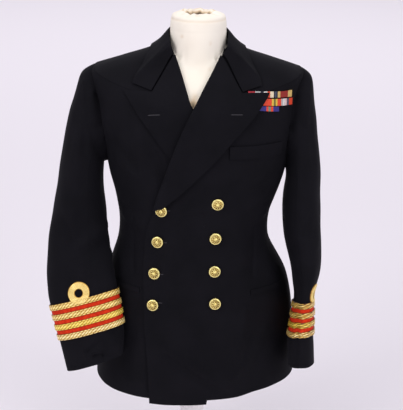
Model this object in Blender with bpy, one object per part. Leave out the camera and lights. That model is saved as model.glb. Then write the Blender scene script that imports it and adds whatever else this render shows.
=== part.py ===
"""A naval officer jacket worn by a limbless dress form on a pole and a round base.

Metres, +Z up. The front faces -Y and the wearer's left is +X. The origin is the centre of the base's
underside. Every cloth piece is a closed wall whose outer points come from one surface function, and
what lies on a panel is made from that panel's own surface, moved out.
"""
import math
from collections import namedtuple

import bmesh
import bpy
from mathutils import Vector

# Driving sizes
CLOTH = 0.0020
SEAM_GAP = 0.0003
CLEAR = 0.0007
NECK_LEVEL = 0.937
STAND_BASE_RADIUS = 0.155
STAND_BASE_HEIGHT = 0.018
POLE_RADIUS = 0.025
FORM_BOTTOM = 0.330

# Colours: red, green, blue, roughness, metallic
NAVY = (0.010, 0.012, 0.022, 0.85, 0.0)
GOLD_LACE = (0.80, 0.58, 0.20, 0.40, 0.6)
RED_CLOTH = (0.62, 0.05, 0.015, 0.80, 0.0)
GILT = (0.90, 0.64, 0.22, 0.22, 1.0)
CREAM = (0.83, 0.79, 0.72, 0.85, 0.0)
RIBBON_COLOUR = (0.55, 0.12, 0.08, 0.70, 0.0)

# The body of the jacket, ring by ring. Level is the height at the side seam. The front and the back of
# a ring hang lower than its sides by their drops, which carries the surface over the shoulders.
BodyRing = namedtuple("BodyRing", "level half_right half_left front back front_drop back_drop square")
BODY_RINGS = (
    BodyRing(0.215, 0.204, 0.213, 0.138, 0.146, 0.000, 0.000, 2.30),
    BodyRing(0.300, 0.200, 0.210, 0.134, 0.146, 0.000, 0.000, 2.30),
    BodyRing(0.370, 0.194, 0.206, 0.129, 0.142, 0.000, 0.000, 2.30),
    BodyRing(0.430, 0.185, 0.198, 0.125, 0.134, 0.000, 0.000, 2.30),
    BodyRing(0.480, 0.174, 0.182, 0.121, 0.121, 0.000, 0.000, 2.30),
    BodyRing(0.530, 0.158, 0.153, 0.118, 0.106, 0.000, 0.000, 2.30),
    BodyRing(0.580, 0.154, 0.148, 0.117, 0.099, 0.000, 0.000, 2.30),
    BodyRing(0.620, 0.160, 0.157, 0.119, 0.103, 0.000, 0.000, 2.30),
    BodyRing(0.670, 0.172, 0.175, 0.124, 0.113, 0.000, 0.000, 2.30),
    BodyRing(0.720, 0.182, 0.184, 0.128, 0.122, 0.002, 0.000, 2.30),
    BodyRing(0.780, 0.197, 0.194, 0.130, 0.129, 0.010, 0.000, 2.30),
    BodyRing(0.830, 0.204, 0.199, 0.126, 0.130, 0.022, 0.004, 2.25),
    BodyRing(0.865, 0.2090, 0.2050, 0.119, 0.125, 0.034, 0.008, 2.20),
    BodyRing(0.887, 0.2045, 0.2070, 0.108, 0.114, 0.042, 0.010, 2.15),
    BodyRing(0.899, 0.1690, 0.1725, 0.100, 0.107, 0.044, 0.010, 2.10),
    BodyRing(0.911, 0.1280, 0.1300, 0.088, 0.098, 0.044, 0.006, 2.05),
    BodyRing(0.924, 0.0890, 0.0900, 0.072, 0.084, 0.040, 0.000, 2.00),
    BodyRing(0.937, 0.0615, 0.0615, 0.056, 0.068, 0.034, -0.004, 2.00),
)

# The armhole, an oval in angle and level round the side of the body, in degrees and metres
ARMHOLE_ANGLE = 92.0
ARMHOLE_FRONT_SPAN = 25.0
ARMHOLE_BACK_SPAN = 26.0
ARMHOLE_LEVEL = 0.790
ARMHOLE_HALF = 0.097
ARMHOLE_EASE = 1.005

# Columns of a sleeve, as turns round the armhole: 0 at the top, 90 in front, 180 below, 270 behind
SLEEVE_SEAM = 110.0
TOP_SLEEVE_COLUMNS = 16
UNDER_SLEEVE_COLUMNS = 8
BODY_SEAM_TURN = SLEEVE_SEAM + (360.0 - 2 * SLEEVE_SEAM) / UNDER_SLEEVE_COLUMNS

# Seams that run up the body meet the armhole at that turn, given here as angles from the front centre
FRONT_SEAM = ARMHOLE_ANGLE - ARMHOLE_EASE * ARMHOLE_FRONT_SPAN * math.sin(math.radians(BODY_SEAM_TURN))
BACK_SEAM = ARMHOLE_ANGLE + ARMHOLE_EASE * ARMHOLE_BACK_SPAN * math.sin(math.radians(BODY_SEAM_TURN))

# Front edges: height and how far across. Below the lapel it is the buttoned edge, above it the roll line.
EdgePoint = namedtuple("EdgePoint", "height across")
TOP_FRONT_EDGE = (
    EdgePoint(0.210, -0.085),
    EdgePoint(0.281, -0.088),
    EdgePoint(0.333, -0.091),
    EdgePoint(0.397, -0.096),
    EdgePoint(0.460, -0.099),
    EdgePoint(0.522, -0.098),
    EdgePoint(0.576, -0.094),
    EdgePoint(0.605, -0.084),
    EdgePoint(0.633, -0.075),
    EdgePoint(0.677, -0.061),
    EdgePoint(0.732, -0.042),
    EdgePoint(0.779, -0.025),
    EdgePoint(0.826, 0.003),
    EdgePoint(0.872, 0.028),
    EdgePoint(0.915, 0.046),
    EdgePoint(0.940, 0.055),
)
UNDER_FRONT_EDGE = (
    EdgePoint(0.210, -0.076),
    EdgePoint(0.400, -0.080),
    EdgePoint(0.560, -0.080),
    EdgePoint(0.633, -0.074),
    EdgePoint(0.677, -0.056),
    EdgePoint(0.732, -0.035),
    EdgePoint(0.779, -0.012),
    EdgePoint(0.830, 0.012),
    EdgePoint(0.872, 0.028),
    EdgePoint(0.915, 0.046),
    EdgePoint(0.940, 0.055),
)

# How far the top front stands off the body where the under front and its lapel lie beneath it
LayerLift = namedtuple("LayerLift", "height lift")
TOP_FRONT_LIFT = (
    LayerLift(0.210, 0.0046),
    LayerLift(0.340, 0.0044),
    LayerLift(0.420, 0.0036),
    LayerLift(0.640, 0.0036),
    LayerLift(0.690, 0.0052),
    LayerLift(0.735, 0.0072),
    LayerLift(0.790, 0.0090),
    LayerLift(0.830, 0.0106),
    LayerLift(0.870, 0.0050),
    LayerLift(0.915, 0.0020),
    LayerLift(0.940, 0.0010),
)
LAYER_RAMP = 0.045

# The hem, as a height on the wearer's right and left at angles from the front centre, and the lower
# corner of the top front
HemPoint = namedtuple("HemPoint", "angle right left")
HEM = (
    HemPoint(0.0, 0.2272, 0.2272),
    HemPoint(30.0, 0.2260, 0.2385),
    HemPoint(60.0, 0.2310, 0.2465),
    HemPoint(95.0, 0.2395, 0.2480),
    HemPoint(140.0, 0.2360, 0.2370),
    HemPoint(180.0, 0.2330, 0.2330),
)
HEM_TAB_DROP = 0.0090
HEM_TAB_END = 0.031
HEM_TAB_STEP = 0.0015

# Lapels: where a row starts on the roll line and where it ends on the free edge, across and height
LapelRow = namedtuple("LapelRow", "roll_across roll_height edge_across edge_height roll_lift edge_lift")
LAPEL_LEFT = (
    LapelRow(-0.0758, 0.6265, -0.0600, 0.6330, 0.0106, 0.0104),
    LapelRow(-0.0640, 0.668, -0.0230, 0.668, 0.0086, 0.0062),
    LapelRow(-0.0460, 0.721, 0.0200, 0.714, 0.0080, 0.0056),
    LapelRow(-0.0270, 0.774, 0.0640, 0.763, 0.0074, 0.0056),
    LapelRow(-0.0030, 0.824, 0.1020, 0.806, 0.0070, 0.0060),
    LapelRow(0.0215, 0.868, 0.1250, 0.836, 0.0066, 0.0062),
    LapelRow(0.0465, 0.914, 0.1370, 0.855, 0.0064, 0.0062),
)
LAPEL_RIGHT = (
    LapelRow(-0.0010, 0.811, 0.0380, 0.721, 0.0058, 0.0036),
    LapelRow(0.0130, 0.833, 0.0600, 0.748, 0.0058, 0.0036),
    LapelRow(0.0220, 0.855, 0.0860, 0.784, 0.0058, 0.0036),
    LapelRow(0.0330, 0.882, 0.1130, 0.820, 0.0058, 0.0036),
    LapelRow(0.0465, 0.914, 0.1400, 0.8555, 0.0058, 0.0036),
)
LapelStage = namedtuple("LapelStage", ("share",) + LapelRow._fields)
NOTCH_ACROSS = 0.0855
NOTCH_HEIGHT = 0.8545
NOTCH_SHARE = 0.58
ROLL_REACH = 0.032

# The turn of the cloth round a panel's edge: how far beyond the edge it goes, how far its upper corner
# does, how far it starts below the panel's face, and the shares of the roll's lift at both corners
WRAP_REACH = 0.0044
WRAP_CORNER = 0.0022
WRAP_SINK = 0.0004
WRAP_LOW_SHARE = 0.36
WRAP_HIGH_SHARE = 0.84

# The collar, half of it from the gorge to the centre back: the fold as a point, the free edge as a place
# on the body given by its angle from the front and its level
CollarRow = namedtuple("CollarRow", "fold_right fold_left fold_ahead fold_height stand edge_angle edge_level "
                                    "lift bulge")
COLLAR_ROWS = (
    CollarRow(0.0545, 0.0600, 0.047, 0.936, 0.008, 37.0, 0.888, 0.0040, 0.0012),
    CollarRow(0.0580, 0.0610, 0.030, 0.946, 0.013, 54.0, 0.9100, 0.0056, -0.0006),
    CollarRow(0.0604, 0.0620, 0.015, 0.9525, 0.016, 72.0, 0.9200, 0.0056, -0.0026),
    CollarRow(0.0612, 0.0620, 0.000, 0.957, 0.018, 90.0, 0.9235, 0.0052, -0.0040),
    CollarRow(0.0530, 0.0530, -0.037, 0.961, 0.020, 126.0, 0.917, 0.0046, -0.0030),
    CollarRow(0.0300, 0.0300, -0.058, 0.963, 0.021, 153.0, 0.907, 0.0040, 0.0006),
    CollarRow(0.0000, 0.0000, -0.0648, 0.964, 0.022, 180.0, 0.904, 0.0040, 0.0012),
)
COLLAR_CORNER = (0.1228, 0.8672)
COLLAR_SHARES = (0.12, 0.32, 0.55, 0.78, 1.0)
STAND_INSET = 0.0048
STAND_TOP_DROP = 0.0040
FOLD_INSET = 0.0024
FOLD_RISE = 0.0016
LAST_FRONT_EDGE_ANGLE = 100.0

# The collar's first row, along the gorge seam above the lapel
GORGE_START_RIGHT = (0.0490, 0.9162)
GORGE_START_LEFT = (0.0510, 0.9162)
GORGE_END = (NOTCH_ACROSS + 0.0014, NOTCH_HEIGHT + 0.0022)
GORGE_ROLL_LIFT = 0.0055
GORGE_LIFT = 0.0038
GORGE_INWARD = -0.83
GORGE_AHEAD = -0.20
GORGE_UP = 0.52

# Sleeves, ring by ring. Station is the length from the armhole. Inner is the edge beside the body, outer
# the far edge, both as across and height. Middle is how far the ring's centre lies towards the back.
SleeveRing = namedtuple("SleeveRing", "station inner_across inner_height outer_across outer_height "
                                      "middle half_depth rise")
SLEEVE_RIGHT = (
    SleeveRing(0.020, 0.1860, 0.691, 0.2275, 0.873, -0.001, 0.066, 0.0),
    SleeveRing(0.050, 0.1860, 0.682, 0.2380, 0.843, -0.002, 0.070, 0.0),
    SleeveRing(0.096, 0.1870, 0.664, 0.2580, 0.772, -0.008, 0.074, 4.0),
    SleeveRing(0.146, 0.1850, 0.636, 0.2700, 0.702, -0.015, 0.073, 6.0),
    SleeveRing(0.207, 0.1800, 0.596, 0.2820, 0.622, -0.026, 0.067, 9.0),
    SleeveRing(0.270, 0.1740, 0.548, 0.2915, 0.550, -0.044, 0.058, 15.0),
    SleeveRing(0.335, 0.1645, 0.500, 0.2965, 0.480, -0.071, 0.047, 20.0),
    SleeveRing(0.401, 0.1520, 0.452, 0.2870, 0.412, -0.098, 0.035, 16.0),
    SleeveRing(0.476, 0.1390, 0.380, 0.2670, 0.341, -0.114, 0.031, 10.0),
    SleeveRing(0.539, 0.1400, 0.322, 0.2530, 0.284, -0.124, 0.030, 10.0),
)
SLEEVE_LEFT = (
    SleeveRing(0.020, 0.1805, 0.689, 0.2240, 0.873, 0.000, 0.066, 0.0),
    SleeveRing(0.050, 0.1810, 0.680, 0.2300, 0.840, 0.000, 0.070, 0.0),
    SleeveRing(0.096, 0.1820, 0.658, 0.2410, 0.757, -0.004, 0.075, 2.0),
    SleeveRing(0.146, 0.1780, 0.628, 0.2495, 0.690, -0.010, 0.075, 4.0),
    SleeveRing(0.207, 0.1770, 0.590, 0.2520, 0.615, -0.019, 0.073, 7.0),
    SleeveRing(0.270, 0.1815, 0.545, 0.2545, 0.550, -0.034, 0.071, 12.0),
    SleeveRing(0.335, 0.1950, 0.497, 0.2550, 0.490, -0.055, 0.069, 15.0),
    SleeveRing(0.401, 0.2035, 0.422, 0.2395, 0.431, -0.082, 0.065, 17.0),
    SleeveRing(0.476, 0.1930, 0.352, 0.2430, 0.362, -0.099, 0.060, 16.0),
    SleeveRing(0.539, 0.1950, 0.297, 0.2465, 0.308, -0.108, 0.056, 15.0),
)
SleeveColumn = namedtuple("SleeveColumn", "station x y z")
SLEEVE_SQUARE = 2.2
SLEEVE_SEAM_GAP = 0.35
SLEEVE_WALL_STATIONS = (0.0, 0.018, 0.040, 0.068, 0.100, 0.140, 0.180, 0.220, 0.260, 0.300, 0.340,
                        0.372, 0.398, 0.4702, 0.505, 0.539)
LACE_TOP_STATION = 0.398
LACE_BOTTOM_STATION = 0.4702

# Cuff lace
LACE_ROWS = 4
LACE_WIDTH = 0.0122
LACE_SPACE = 0.0078
CUFF_CLOTH_THICKNESS = 0.0010
LACE_THICKNESS = 0.0010
LACE_GAP = 0.0006
CURL_OUTER_RADIUS = 0.0220
CURL_INNER_RADIUS = 0.0080
CURL_RISE = 0.0116
CURL_POINTS = 24
CURL_RADIUS_SHARES = (0.0, 0.5, 1.0)
CURL_TURN_RIGHT = 85.0
CURL_TURN_LEFT = 44.0

# Folds in the body and in the sleeves: soft ridges, or troughs where the lift is below zero, along a line
BodyFold = namedtuple("BodyFold", "ahead start_across start_height end_across end_height width lift")
BODY_FOLDS = (
    BodyFold(True, -0.055, 0.330, 0.085, 0.240, 0.026, 0.0035),
    BodyFold(True, -0.010, 0.340, 0.115, 0.262, 0.024, -0.0025),
    BodyFold(True, 0.108, 0.420, 0.092, 0.265, 0.022, 0.0045),
    BodyFold(True, 0.145, 0.370, 0.120, 0.270, 0.020, -0.0030),
    BodyFold(True, 0.120, 0.600, 0.118, 0.490, 0.012, -0.0030),
    BodyFold(True, -0.120, 0.600, -0.122, 0.500, 0.012, -0.0025),
    BodyFold(True, -0.100, 0.790, -0.120, 0.700, 0.030, 0.0035),
    BodyFold(True, -0.152, 0.790, -0.158, 0.740, 0.016, -0.0040),
    BodyFold(True, 0.150, 0.740, 0.145, 0.690, 0.018, -0.0030),
    BodyFold(False, -0.070, 0.640, -0.110, 0.560, 0.020, 0.0040),
    BodyFold(False, 0.075, 0.630, 0.120, 0.560, 0.020, 0.0040),
    BodyFold(False, -0.085, 0.420, -0.105, 0.250, 0.026, 0.0050),
    BodyFold(False, 0.080, 0.430, 0.095, 0.250, 0.026, 0.0050),
    BodyFold(False, 0.000, 0.400, 0.010, 0.240, 0.030, -0.0040),
)
METRES_PER_DEGREE = 0.0010
SleeveFold = namedtuple("SleeveFold", "left start_turn start_station end_turn end_station width lift")
SLEEVE_FOLDS = (
    SleeveFold(False, 70.0, 0.225, 20.0, 0.275, 0.016, 0.0045),
    SleeveFold(False, 150.0, 0.300, 95.0, 0.270, 0.014, -0.0040),
    SleeveFold(False, 160.0, 0.325, 100.0, 0.320, 0.012, 0.0040),
    SleeveFold(False, 60.0, 0.050, 55.0, 0.110, 0.014, -0.0040),
    SleeveFold(False, 124.0, 0.500, 82.0, 0.528, 0.010, -0.0040),
    SleeveFold(False, 150.0, 0.532, 110.0, 0.539, 0.010, -0.0050),
    SleeveFold(False, 270.0, 0.260, 220.0, 0.300, 0.016, 0.0045),
    SleeveFold(True, 130.0, 0.290, 60.0, 0.260, 0.014, -0.0040),
    SleeveFold(True, 140.0, 0.330, 70.0, 0.330, 0.013, 0.0040),
    SleeveFold(True, 60.0, 0.060, 55.0, 0.120, 0.014, -0.0040),
    SleeveFold(True, 280.0, 0.250, 320.0, 0.300, 0.016, 0.0045),
)

# Buttons: across and height on the top front, and half the turned profile as radius and height
ButtonPlace = namedtuple("ButtonPlace", "name across height")
BUTTONS = (
    ButtonPlace("button_right_1", -0.0640, 0.6250),
    ButtonPlace("button_right_2", -0.0708, 0.5585),
    ButtonPlace("button_right_3", -0.0768, 0.4933),
    ButtonPlace("button_right_4", -0.0794, 0.4283),
    ButtonPlace("button_left_1", 0.0430, 0.6428),
    ButtonPlace("button_left_2", 0.0402, 0.5700),
    ButtonPlace("button_left_3", 0.0402, 0.5022),
    ButtonPlace("button_left_4", 0.0424, 0.4360),
)
BUTTON_PROFILE = (
    (0.0032, 0.0006),
    (0.0032, 0.0018),
    (0.0106, 0.0019),
    (0.0115, 0.0026),
    (0.0114, 0.0034),
    (0.0098, 0.0045),
    (0.0055, 0.0060),
)
BUTTON_TOP = 0.0066
BUTTON_SIDES = 14

# Flat pieces laid on a front: across and height of the lower and upper corners at both ends
Strip = namedtuple("Strip", "name mirrored start_across start_low start_high end_across end_low end_high "
                            "gap thickness colour")
STRIPS = (
    Strip("breast_welt", False, 0.0640, 0.7330, 0.7580, 0.1660, 0.7310, 0.7570, 0.0013, 0.0016, NAVY),
    Strip("hip_pocket_left", False, 0.1130, 0.4480, 0.4580, 0.1760, 0.4510, 0.4610, 0.0009, 0.0012, NAVY),
    Strip("hip_pocket_right", True, 0.1080, 0.4480, 0.4580, 0.1740, 0.4510, 0.4610, 0.0009, 0.0012, NAVY),
    Strip("ribbon_1", False, 0.0970, 0.8508, 0.8585, 0.1815, 0.8442, 0.8568, 0.0009, 0.0012, RIBBON_COLOUR),
    Strip("ribbon_2", False, 0.0970, 0.8368, 0.8488, 0.1830, 0.8280, 0.8414, 0.0009, 0.0012, RIBBON_COLOUR),
    Strip("ribbon_3", False, 0.1180, 0.8250, 0.8334, 0.1560, 0.8198, 0.8294, 0.0009, 0.0012, RIBBON_COLOUR),
)
STRIP_COLUMNS = 9
STRIP_ROW_SHARES = (0.0, 0.5, 1.0)

# The dress form: how far inside the cloth it lies at each level, then its neck rings
FormInset = namedtuple("FormInset", "level inset")
FORM_INSETS = (
    FormInset(0.330, 0.030),
    FormInset(0.450, 0.018),
    FormInset(0.580, 0.012),
    FormInset(0.700, 0.010),
    FormInset(0.800, 0.0070),
    FormInset(0.870, 0.0048),
    FormInset(0.950, 0.0042),
)
FORM_LEVELS = (0.330, 0.370, 0.420, 0.470, 0.520, 0.570, 0.620, 0.670, 0.720, 0.770, 0.810, 0.845, 0.870,
               0.8875, 0.904, 0.9205)
NeckRing = namedtuple("NeckRing", "height half front back front_drop")
NECK_RINGS = (
    NeckRing(0.930, 0.0553, 0.0545, 0.0592, 0.034),
    NeckRing(0.950, 0.0551, 0.0543, 0.0590, 0.012),
    NeckRing(0.968, 0.0545, 0.0540, 0.0575, 0.004),
    NeckRing(0.980, 0.0535, 0.0535, 0.0555, 0.000),
    NeckRing(0.988, 0.0510, 0.0510, 0.0520, 0.000),
    NeckRing(0.992, 0.0440, 0.0440, 0.0450, 0.000),
    NeckRing(0.997, 0.0240, 0.0240, 0.0240, 0.000),
)
FORM_SIDES = 30
BASE_PROFILE = (
    (STAND_BASE_RADIUS, 0.000),
    (STAND_BASE_RADIUS, 0.010),
    (0.151, 0.016),
    (0.140, STAND_BASE_HEIGHT),
)

# Steps for finding a surface's normal, in degrees and metres
ANGLE_STEP = 0.4
LEVEL_STEP = 0.0015

# Grid sizes
LOWER_ROWS = 14
SHOULDER_ROWS = 3
FRONT_COLUMNS = 12
BACK_COLUMNS = 9
LAPEL_SHARES = (0.10, 0.24, 0.42, 0.58, 0.72, 0.86, 1.0)
LAPEL_ROWS = 12

# Kept results: slopes of each table, and the columns of each sleeve by side and turn
SLOPES = {}
SLEEVE_COLUMNS = {}


def clear_scene():
    """Remove whatever the scene starts with."""
    for item in list(bpy.data.objects):
        bpy.data.objects.remove(item, do_unlink=True)


def row_slopes(rows):
    """Slope of every column at every row, from its neighbours, for smooth curves through a table."""
    slopes = []
    last = len(rows) - 1
    for index, row in enumerate(rows):
        before = rows[max(index - 1, 0)]
        after = rows[min(index + 1, last)]
        span = after[0] - before[0]
        slopes.append([(b - a) / span for a, b in zip(before, after)])
    return slopes


def smooth_row(rows, at):
    """Values of all columns at a place in the first column, on smooth curves through the rows."""
    if rows not in SLOPES:
        SLOPES[rows] = row_slopes(rows)
    slopes = SLOPES[rows]
    at = min(max(at, rows[0][0]), rows[-1][0])
    index = 0
    while index < len(rows) - 2 and at > rows[index + 1][0]:
        index += 1
    low, high = rows[index], rows[index + 1]
    span = high[0] - low[0]
    t = (at - low[0]) / span
    start = (1 + 2 * t) * (1 - t) ** 2
    end = t * t * (3 - 2 * t)
    leave = t * (1 - t) ** 2 * span
    arrive = t * t * (t - 1) * span
    values = [start * a + end * b + leave * m + arrive * n
              for a, b, m, n in zip(low, high, slopes[index], slopes[index + 1])]
    values[0] = at
    return type(low)(*values)


def ease(value):
    """0 to 1 with soft ends."""
    value = min(max(value, 0.0), 1.0)
    return value * value * (3 - 2 * value)


def signed_power(value, power):
    """A power that keeps its sign."""
    return math.copysign(abs(value) ** power, value)


def line_closeness(point_a, point_b, start, end, width):
    """1 on the line from start to end, falling softly to 0 beyond the width."""
    run = (end[0] - start[0], end[1] - start[1])
    length_squared = run[0] ** 2 + run[1] ** 2
    share = ((point_a - start[0]) * run[0] + (point_b - start[1]) * run[1]) / length_squared
    share = min(max(share, 0.0), 1.0)
    away = math.hypot(point_a - start[0] - share * run[0], point_b - start[1] - share * run[1])
    return math.exp(-(away / width) ** 2)


# Body surface

def body_base(angle, level):
    """A point of the smooth body, at an angle in degrees from the front and a side level."""
    ring = smooth_row(BODY_RINGS, level)
    aside = math.sin(math.radians(angle))
    ahead = math.cos(math.radians(angle))
    power = 2.0 / ring.square
    half = ring.half_left if aside >= 0 else ring.half_right
    depth = ring.front if ahead >= 0 else ring.back
    drop = ring.front_drop if ahead >= 0 else ring.back_drop
    return Vector((half * signed_power(aside, power), -depth * signed_power(ahead, power),
                   level - drop * ahead * ahead))


def surface_normal(surface, angle, level):
    """Unit normal of a body surface, from small steps each way."""
    along = surface(angle + ANGLE_STEP, level) - surface(angle - ANGLE_STEP, level)
    up = surface(angle, level + LEVEL_STEP) - surface(angle, level - LEVEL_STEP)
    return along.cross(up).normalized()


def body_normal(angle, level):
    """Outward normal of the smooth body."""
    return surface_normal(body_base, angle, level)


def body_fold_lift(point):
    """How far the folds move the cloth out at a point of the body."""
    lift = 0.0
    for fold in BODY_FOLDS:
        if fold.ahead == (point.y < 0):
            lift += fold.lift * line_closeness(point.x, point.z, (fold.start_across, fold.start_height),
                                               (fold.end_across, fold.end_height), fold.width)
    return lift * ease(abs(point.y) / 0.04)


def body_cloth(angle, level, out=0.0):
    """A point of the folded cloth of the body, moved out."""
    base = body_base(angle, level)
    return base + body_normal(angle, level) * (out + body_fold_lift(base))


def angle_across(across, level):
    """The front angle whose point lies this far across, on the ring of a level."""
    ring = smooth_row(BODY_RINGS, level)
    half = ring.half_left if across >= 0 else ring.half_right
    share = min(abs(across) / half, 1.0)
    return math.copysign(math.degrees(math.asin(share ** (ring.square / 2.0))), across)


def front_spot(across, height):
    """Angle and level of the place on the front with this position across and this height."""
    level = height
    angle = 0.0
    for _ in range(14):
        angle = angle_across(across, level)
        ring = smooth_row(BODY_RINGS, level)
        target = height + ring.front_drop * math.cos(math.radians(angle)) ** 2
        level += 0.7 * (target - level)
    return angle, min(level, BODY_RINGS[-1].level)


def under_edge_across(height):
    """How far to the wearer's left the hidden edge of the under front lies at a height."""
    return -smooth_row(UNDER_FRONT_EDGE, height).across


def top_front_out(point):
    """How far the top front stands off the smooth body at a point of it."""
    lift = smooth_row(TOP_FRONT_LIFT, point.z).lift
    return lift * (1.0 - ease((point.x - under_edge_across(point.z) - 0.004) / LAYER_RAMP))


def top_front_cloth(angle, level, out=0.0):
    """A point of the top front's outer face, moved out."""
    return body_cloth(angle, level, out + top_front_out(body_base(angle, level)))


# Walls and other closed shapes

def link(name, mesh, colour):
    """Make an object with its own material from a mesh."""
    item = bpy.data.objects.new(name, mesh)
    bpy.context.scene.collection.objects.link(item)
    material = bpy.data.materials.new(name)
    material.use_nodes = True
    shader = material.node_tree.nodes["Principled BSDF"]
    shader.inputs["Base Color"].default_value = (*colour[:3], 1.0)
    shader.inputs["Roughness"].default_value = colour[3]
    shader.inputs["Metallic"].default_value = colour[4]
    mesh.materials.append(material)
    mesh.shade_smooth()
    mesh.set_sharp_from_angle(angle=math.radians(40))
    return item


def close_mesh(name, build, colour):
    """Finish a bmesh as an object with its faces pointing out."""
    bmesh.ops.recalc_face_normals(build, faces=build.faces)
    mesh = bpy.data.meshes.new(name)
    build.to_mesh(mesh)
    build.free()
    return link(name, mesh, colour)


def grid_normals(points, wrap):
    """Normals of a grid of points from its neighbours, out where rows go up and columns go left."""
    rows = len(points)
    columns = len(points[0])
    normals = []
    for j in range(rows):
        line = []
        for i in range(columns):
            if wrap:
                along = points[j][(i + 1) % columns] - points[j][i - 1]
            else:
                along = points[j][min(i + 1, columns - 1)] - points[j][max(i - 1, 0)]
            up = points[min(j + 1, rows - 1)][i] - points[max(j - 1, 0)][i]
            line.append(along.cross(up).normalized())
        normals.append(line)
    return normals


def wall(name, points, normals, thickness, colour, wrap=False):
    """A closed wall: the grid of outer points, the same points moved in, and a rim round the edges."""
    rows = len(points)
    columns = len(points[0])
    build = bmesh.new()
    outer = [[build.verts.new(p) for p in line] for line in points]
    inner = [[build.verts.new(p - n * thickness) for p, n in zip(line, facing)]
             for line, facing in zip(points, normals)]
    reach = columns if wrap else columns - 1
    for j in range(rows - 1):
        for i in range(reach):
            k = (i + 1) % columns
            build.faces.new((outer[j][i], outer[j][k], outer[j + 1][k], outer[j + 1][i]))
            build.faces.new((inner[j][i], inner[j + 1][i], inner[j + 1][k], inner[j][k]))
    for i in range(reach):
        k = (i + 1) % columns
        build.faces.new((outer[0][i], inner[0][i], inner[0][k], outer[0][k]))
        build.faces.new((outer[-1][i], outer[-1][k], inner[-1][k], inner[-1][i]))
    if not wrap:
        for j in range(rows - 1):
            build.faces.new((outer[j][0], outer[j + 1][0], inner[j + 1][0], inner[j][0]))
            build.faces.new((outer[j][-1], inner[j][-1], inner[j + 1][-1], outer[j + 1][-1]))
    return close_mesh(name, build, colour)


def stacked_rings(name, rings, colour):
    """A solid from rings of points, closed by a flat face at each end."""
    build = bmesh.new()
    loops = [[build.verts.new(p) for p in ring] for ring in rings]
    count = len(rings[0])
    for low, high in zip(loops, loops[1:]):
        for i in range(count):
            k = (i + 1) % count
            build.faces.new((low[i], low[k], high[k], high[i]))
    build.faces.new(list(reversed(loops[0])))
    build.faces.new(loops[-1])
    return close_mesh(name, build, colour)


def turned(name, profile, sides, colour, seat=Vector((0, 0, 0)), axis=Vector((0, 0, 1)), peak=None):
    """A turned solid from radii and heights along an axis, with a pointed top where a peak is given."""
    first = axis.orthogonal().normalized()
    second = axis.cross(first)
    build = bmesh.new()
    loops = []
    for radius, height in profile:
        loops.append([build.verts.new(seat + axis * height
                                      + first * radius * math.cos(2 * math.pi * i / sides)
                                      + second * radius * math.sin(2 * math.pi * i / sides))
                      for i in range(sides)])
    for low, high in zip(loops, loops[1:]):
        for i in range(sides):
            k = (i + 1) % sides
            build.faces.new((low[i], low[k], high[k], high[i]))
    build.faces.new(list(reversed(loops[0])))
    if peak is None:
        build.faces.new(loops[-1])
    else:
        tip = build.verts.new(seat + axis * peak)
        for i in range(sides):
            build.faces.new((loops[-1][i], loops[-1][(i + 1) % sides], tip))
    return close_mesh(name, build, colour)


# Body panels

def hem_height(angle):
    """Height of the hem at an angle from the front, which is positive on the wearer's left."""
    row = smooth_row(HEM, abs(angle))
    return row.left if angle > 0 else row.right


def top_front_hem(angle):
    """Height of the top front's hem, lower at its corner."""
    across = body_base(angle, hem_height(angle)).x
    return hem_height(angle) - HEM_TAB_DROP * ease((HEM_TAB_END - across) / HEM_TAB_STEP)


def armhole_place(turn, size=1.0):
    """Angle and level of the armhole at a turn: 0 at the top, 90 in front, 180 below, 270 behind."""
    sine = math.sin(math.radians(turn))
    span = ARMHOLE_FRONT_SPAN if sine >= 0 else ARMHOLE_BACK_SPAN
    return (ARMHOLE_ANGLE - size * span * sine,
            ARMHOLE_LEVEL + size * ARMHOLE_HALF * math.cos(math.radians(turn)))


def seam_angle(level):
    """Half the seam gap as an angle, at a level."""
    ring = smooth_row(BODY_RINGS, level)
    return math.degrees(0.65 * SEAM_GAP / min(ring.front, ring.back))


def panel_rows(seam, turn_sign, hem, lower_rows):
    """Rows of a front or back panel, from the hem to the neck: a level function and a side angle each."""
    seam_level = armhole_place(BODY_SEAM_TURN, ARMHOLE_EASE)[1]
    top_turns, under_turns = sleeve_turns()
    turns = [under_turns[1]] + [turn for turn in reversed(top_turns) if turn >= 0]
    away = -turn_sign
    rows = []
    for j in range(lower_rows):
        share = j / lower_rows
        rows.append((lambda angle, s=share: hem(angle) + s * (seam_level - hem(angle)),
                     seam + away * seam_angle(0.5)))
    for turn in turns:
        angle, level = armhole_place(turn_sign * turn, ARMHOLE_EASE)
        rows.append((lambda _, fixed=level: fixed, angle + away * seam_angle(level)))
    top = rows[-1][0](0.0)
    for j in range(1, SHOULDER_ROWS + 1):
        level = top + (NECK_LEVEL - top) * j / SHOULDER_ROWS
        rows.append((lambda _, fixed=level: fixed, ARMHOLE_ANGLE + away * seam_angle(level)))
    return rows


def edge_angle(edge, level_at, mirrored):
    """Angle at which a row of a front panel meets its front edge."""
    angle = 0.0
    for _ in range(14):
        level = level_at(angle)
        height = body_base(-angle if mirrored else angle, level).z
        across = smooth_row(edge, height).across
        ring = smooth_row(BODY_RINGS, level)
        half = ring.half_left if (across >= 0) != mirrored else ring.half_right
        share = min(abs(across) / half, 1.0)
        found = math.copysign(math.degrees(math.asin(share ** (ring.square / 2.0))), across)
        angle += 0.7 * (found - angle)
    return angle


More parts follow.
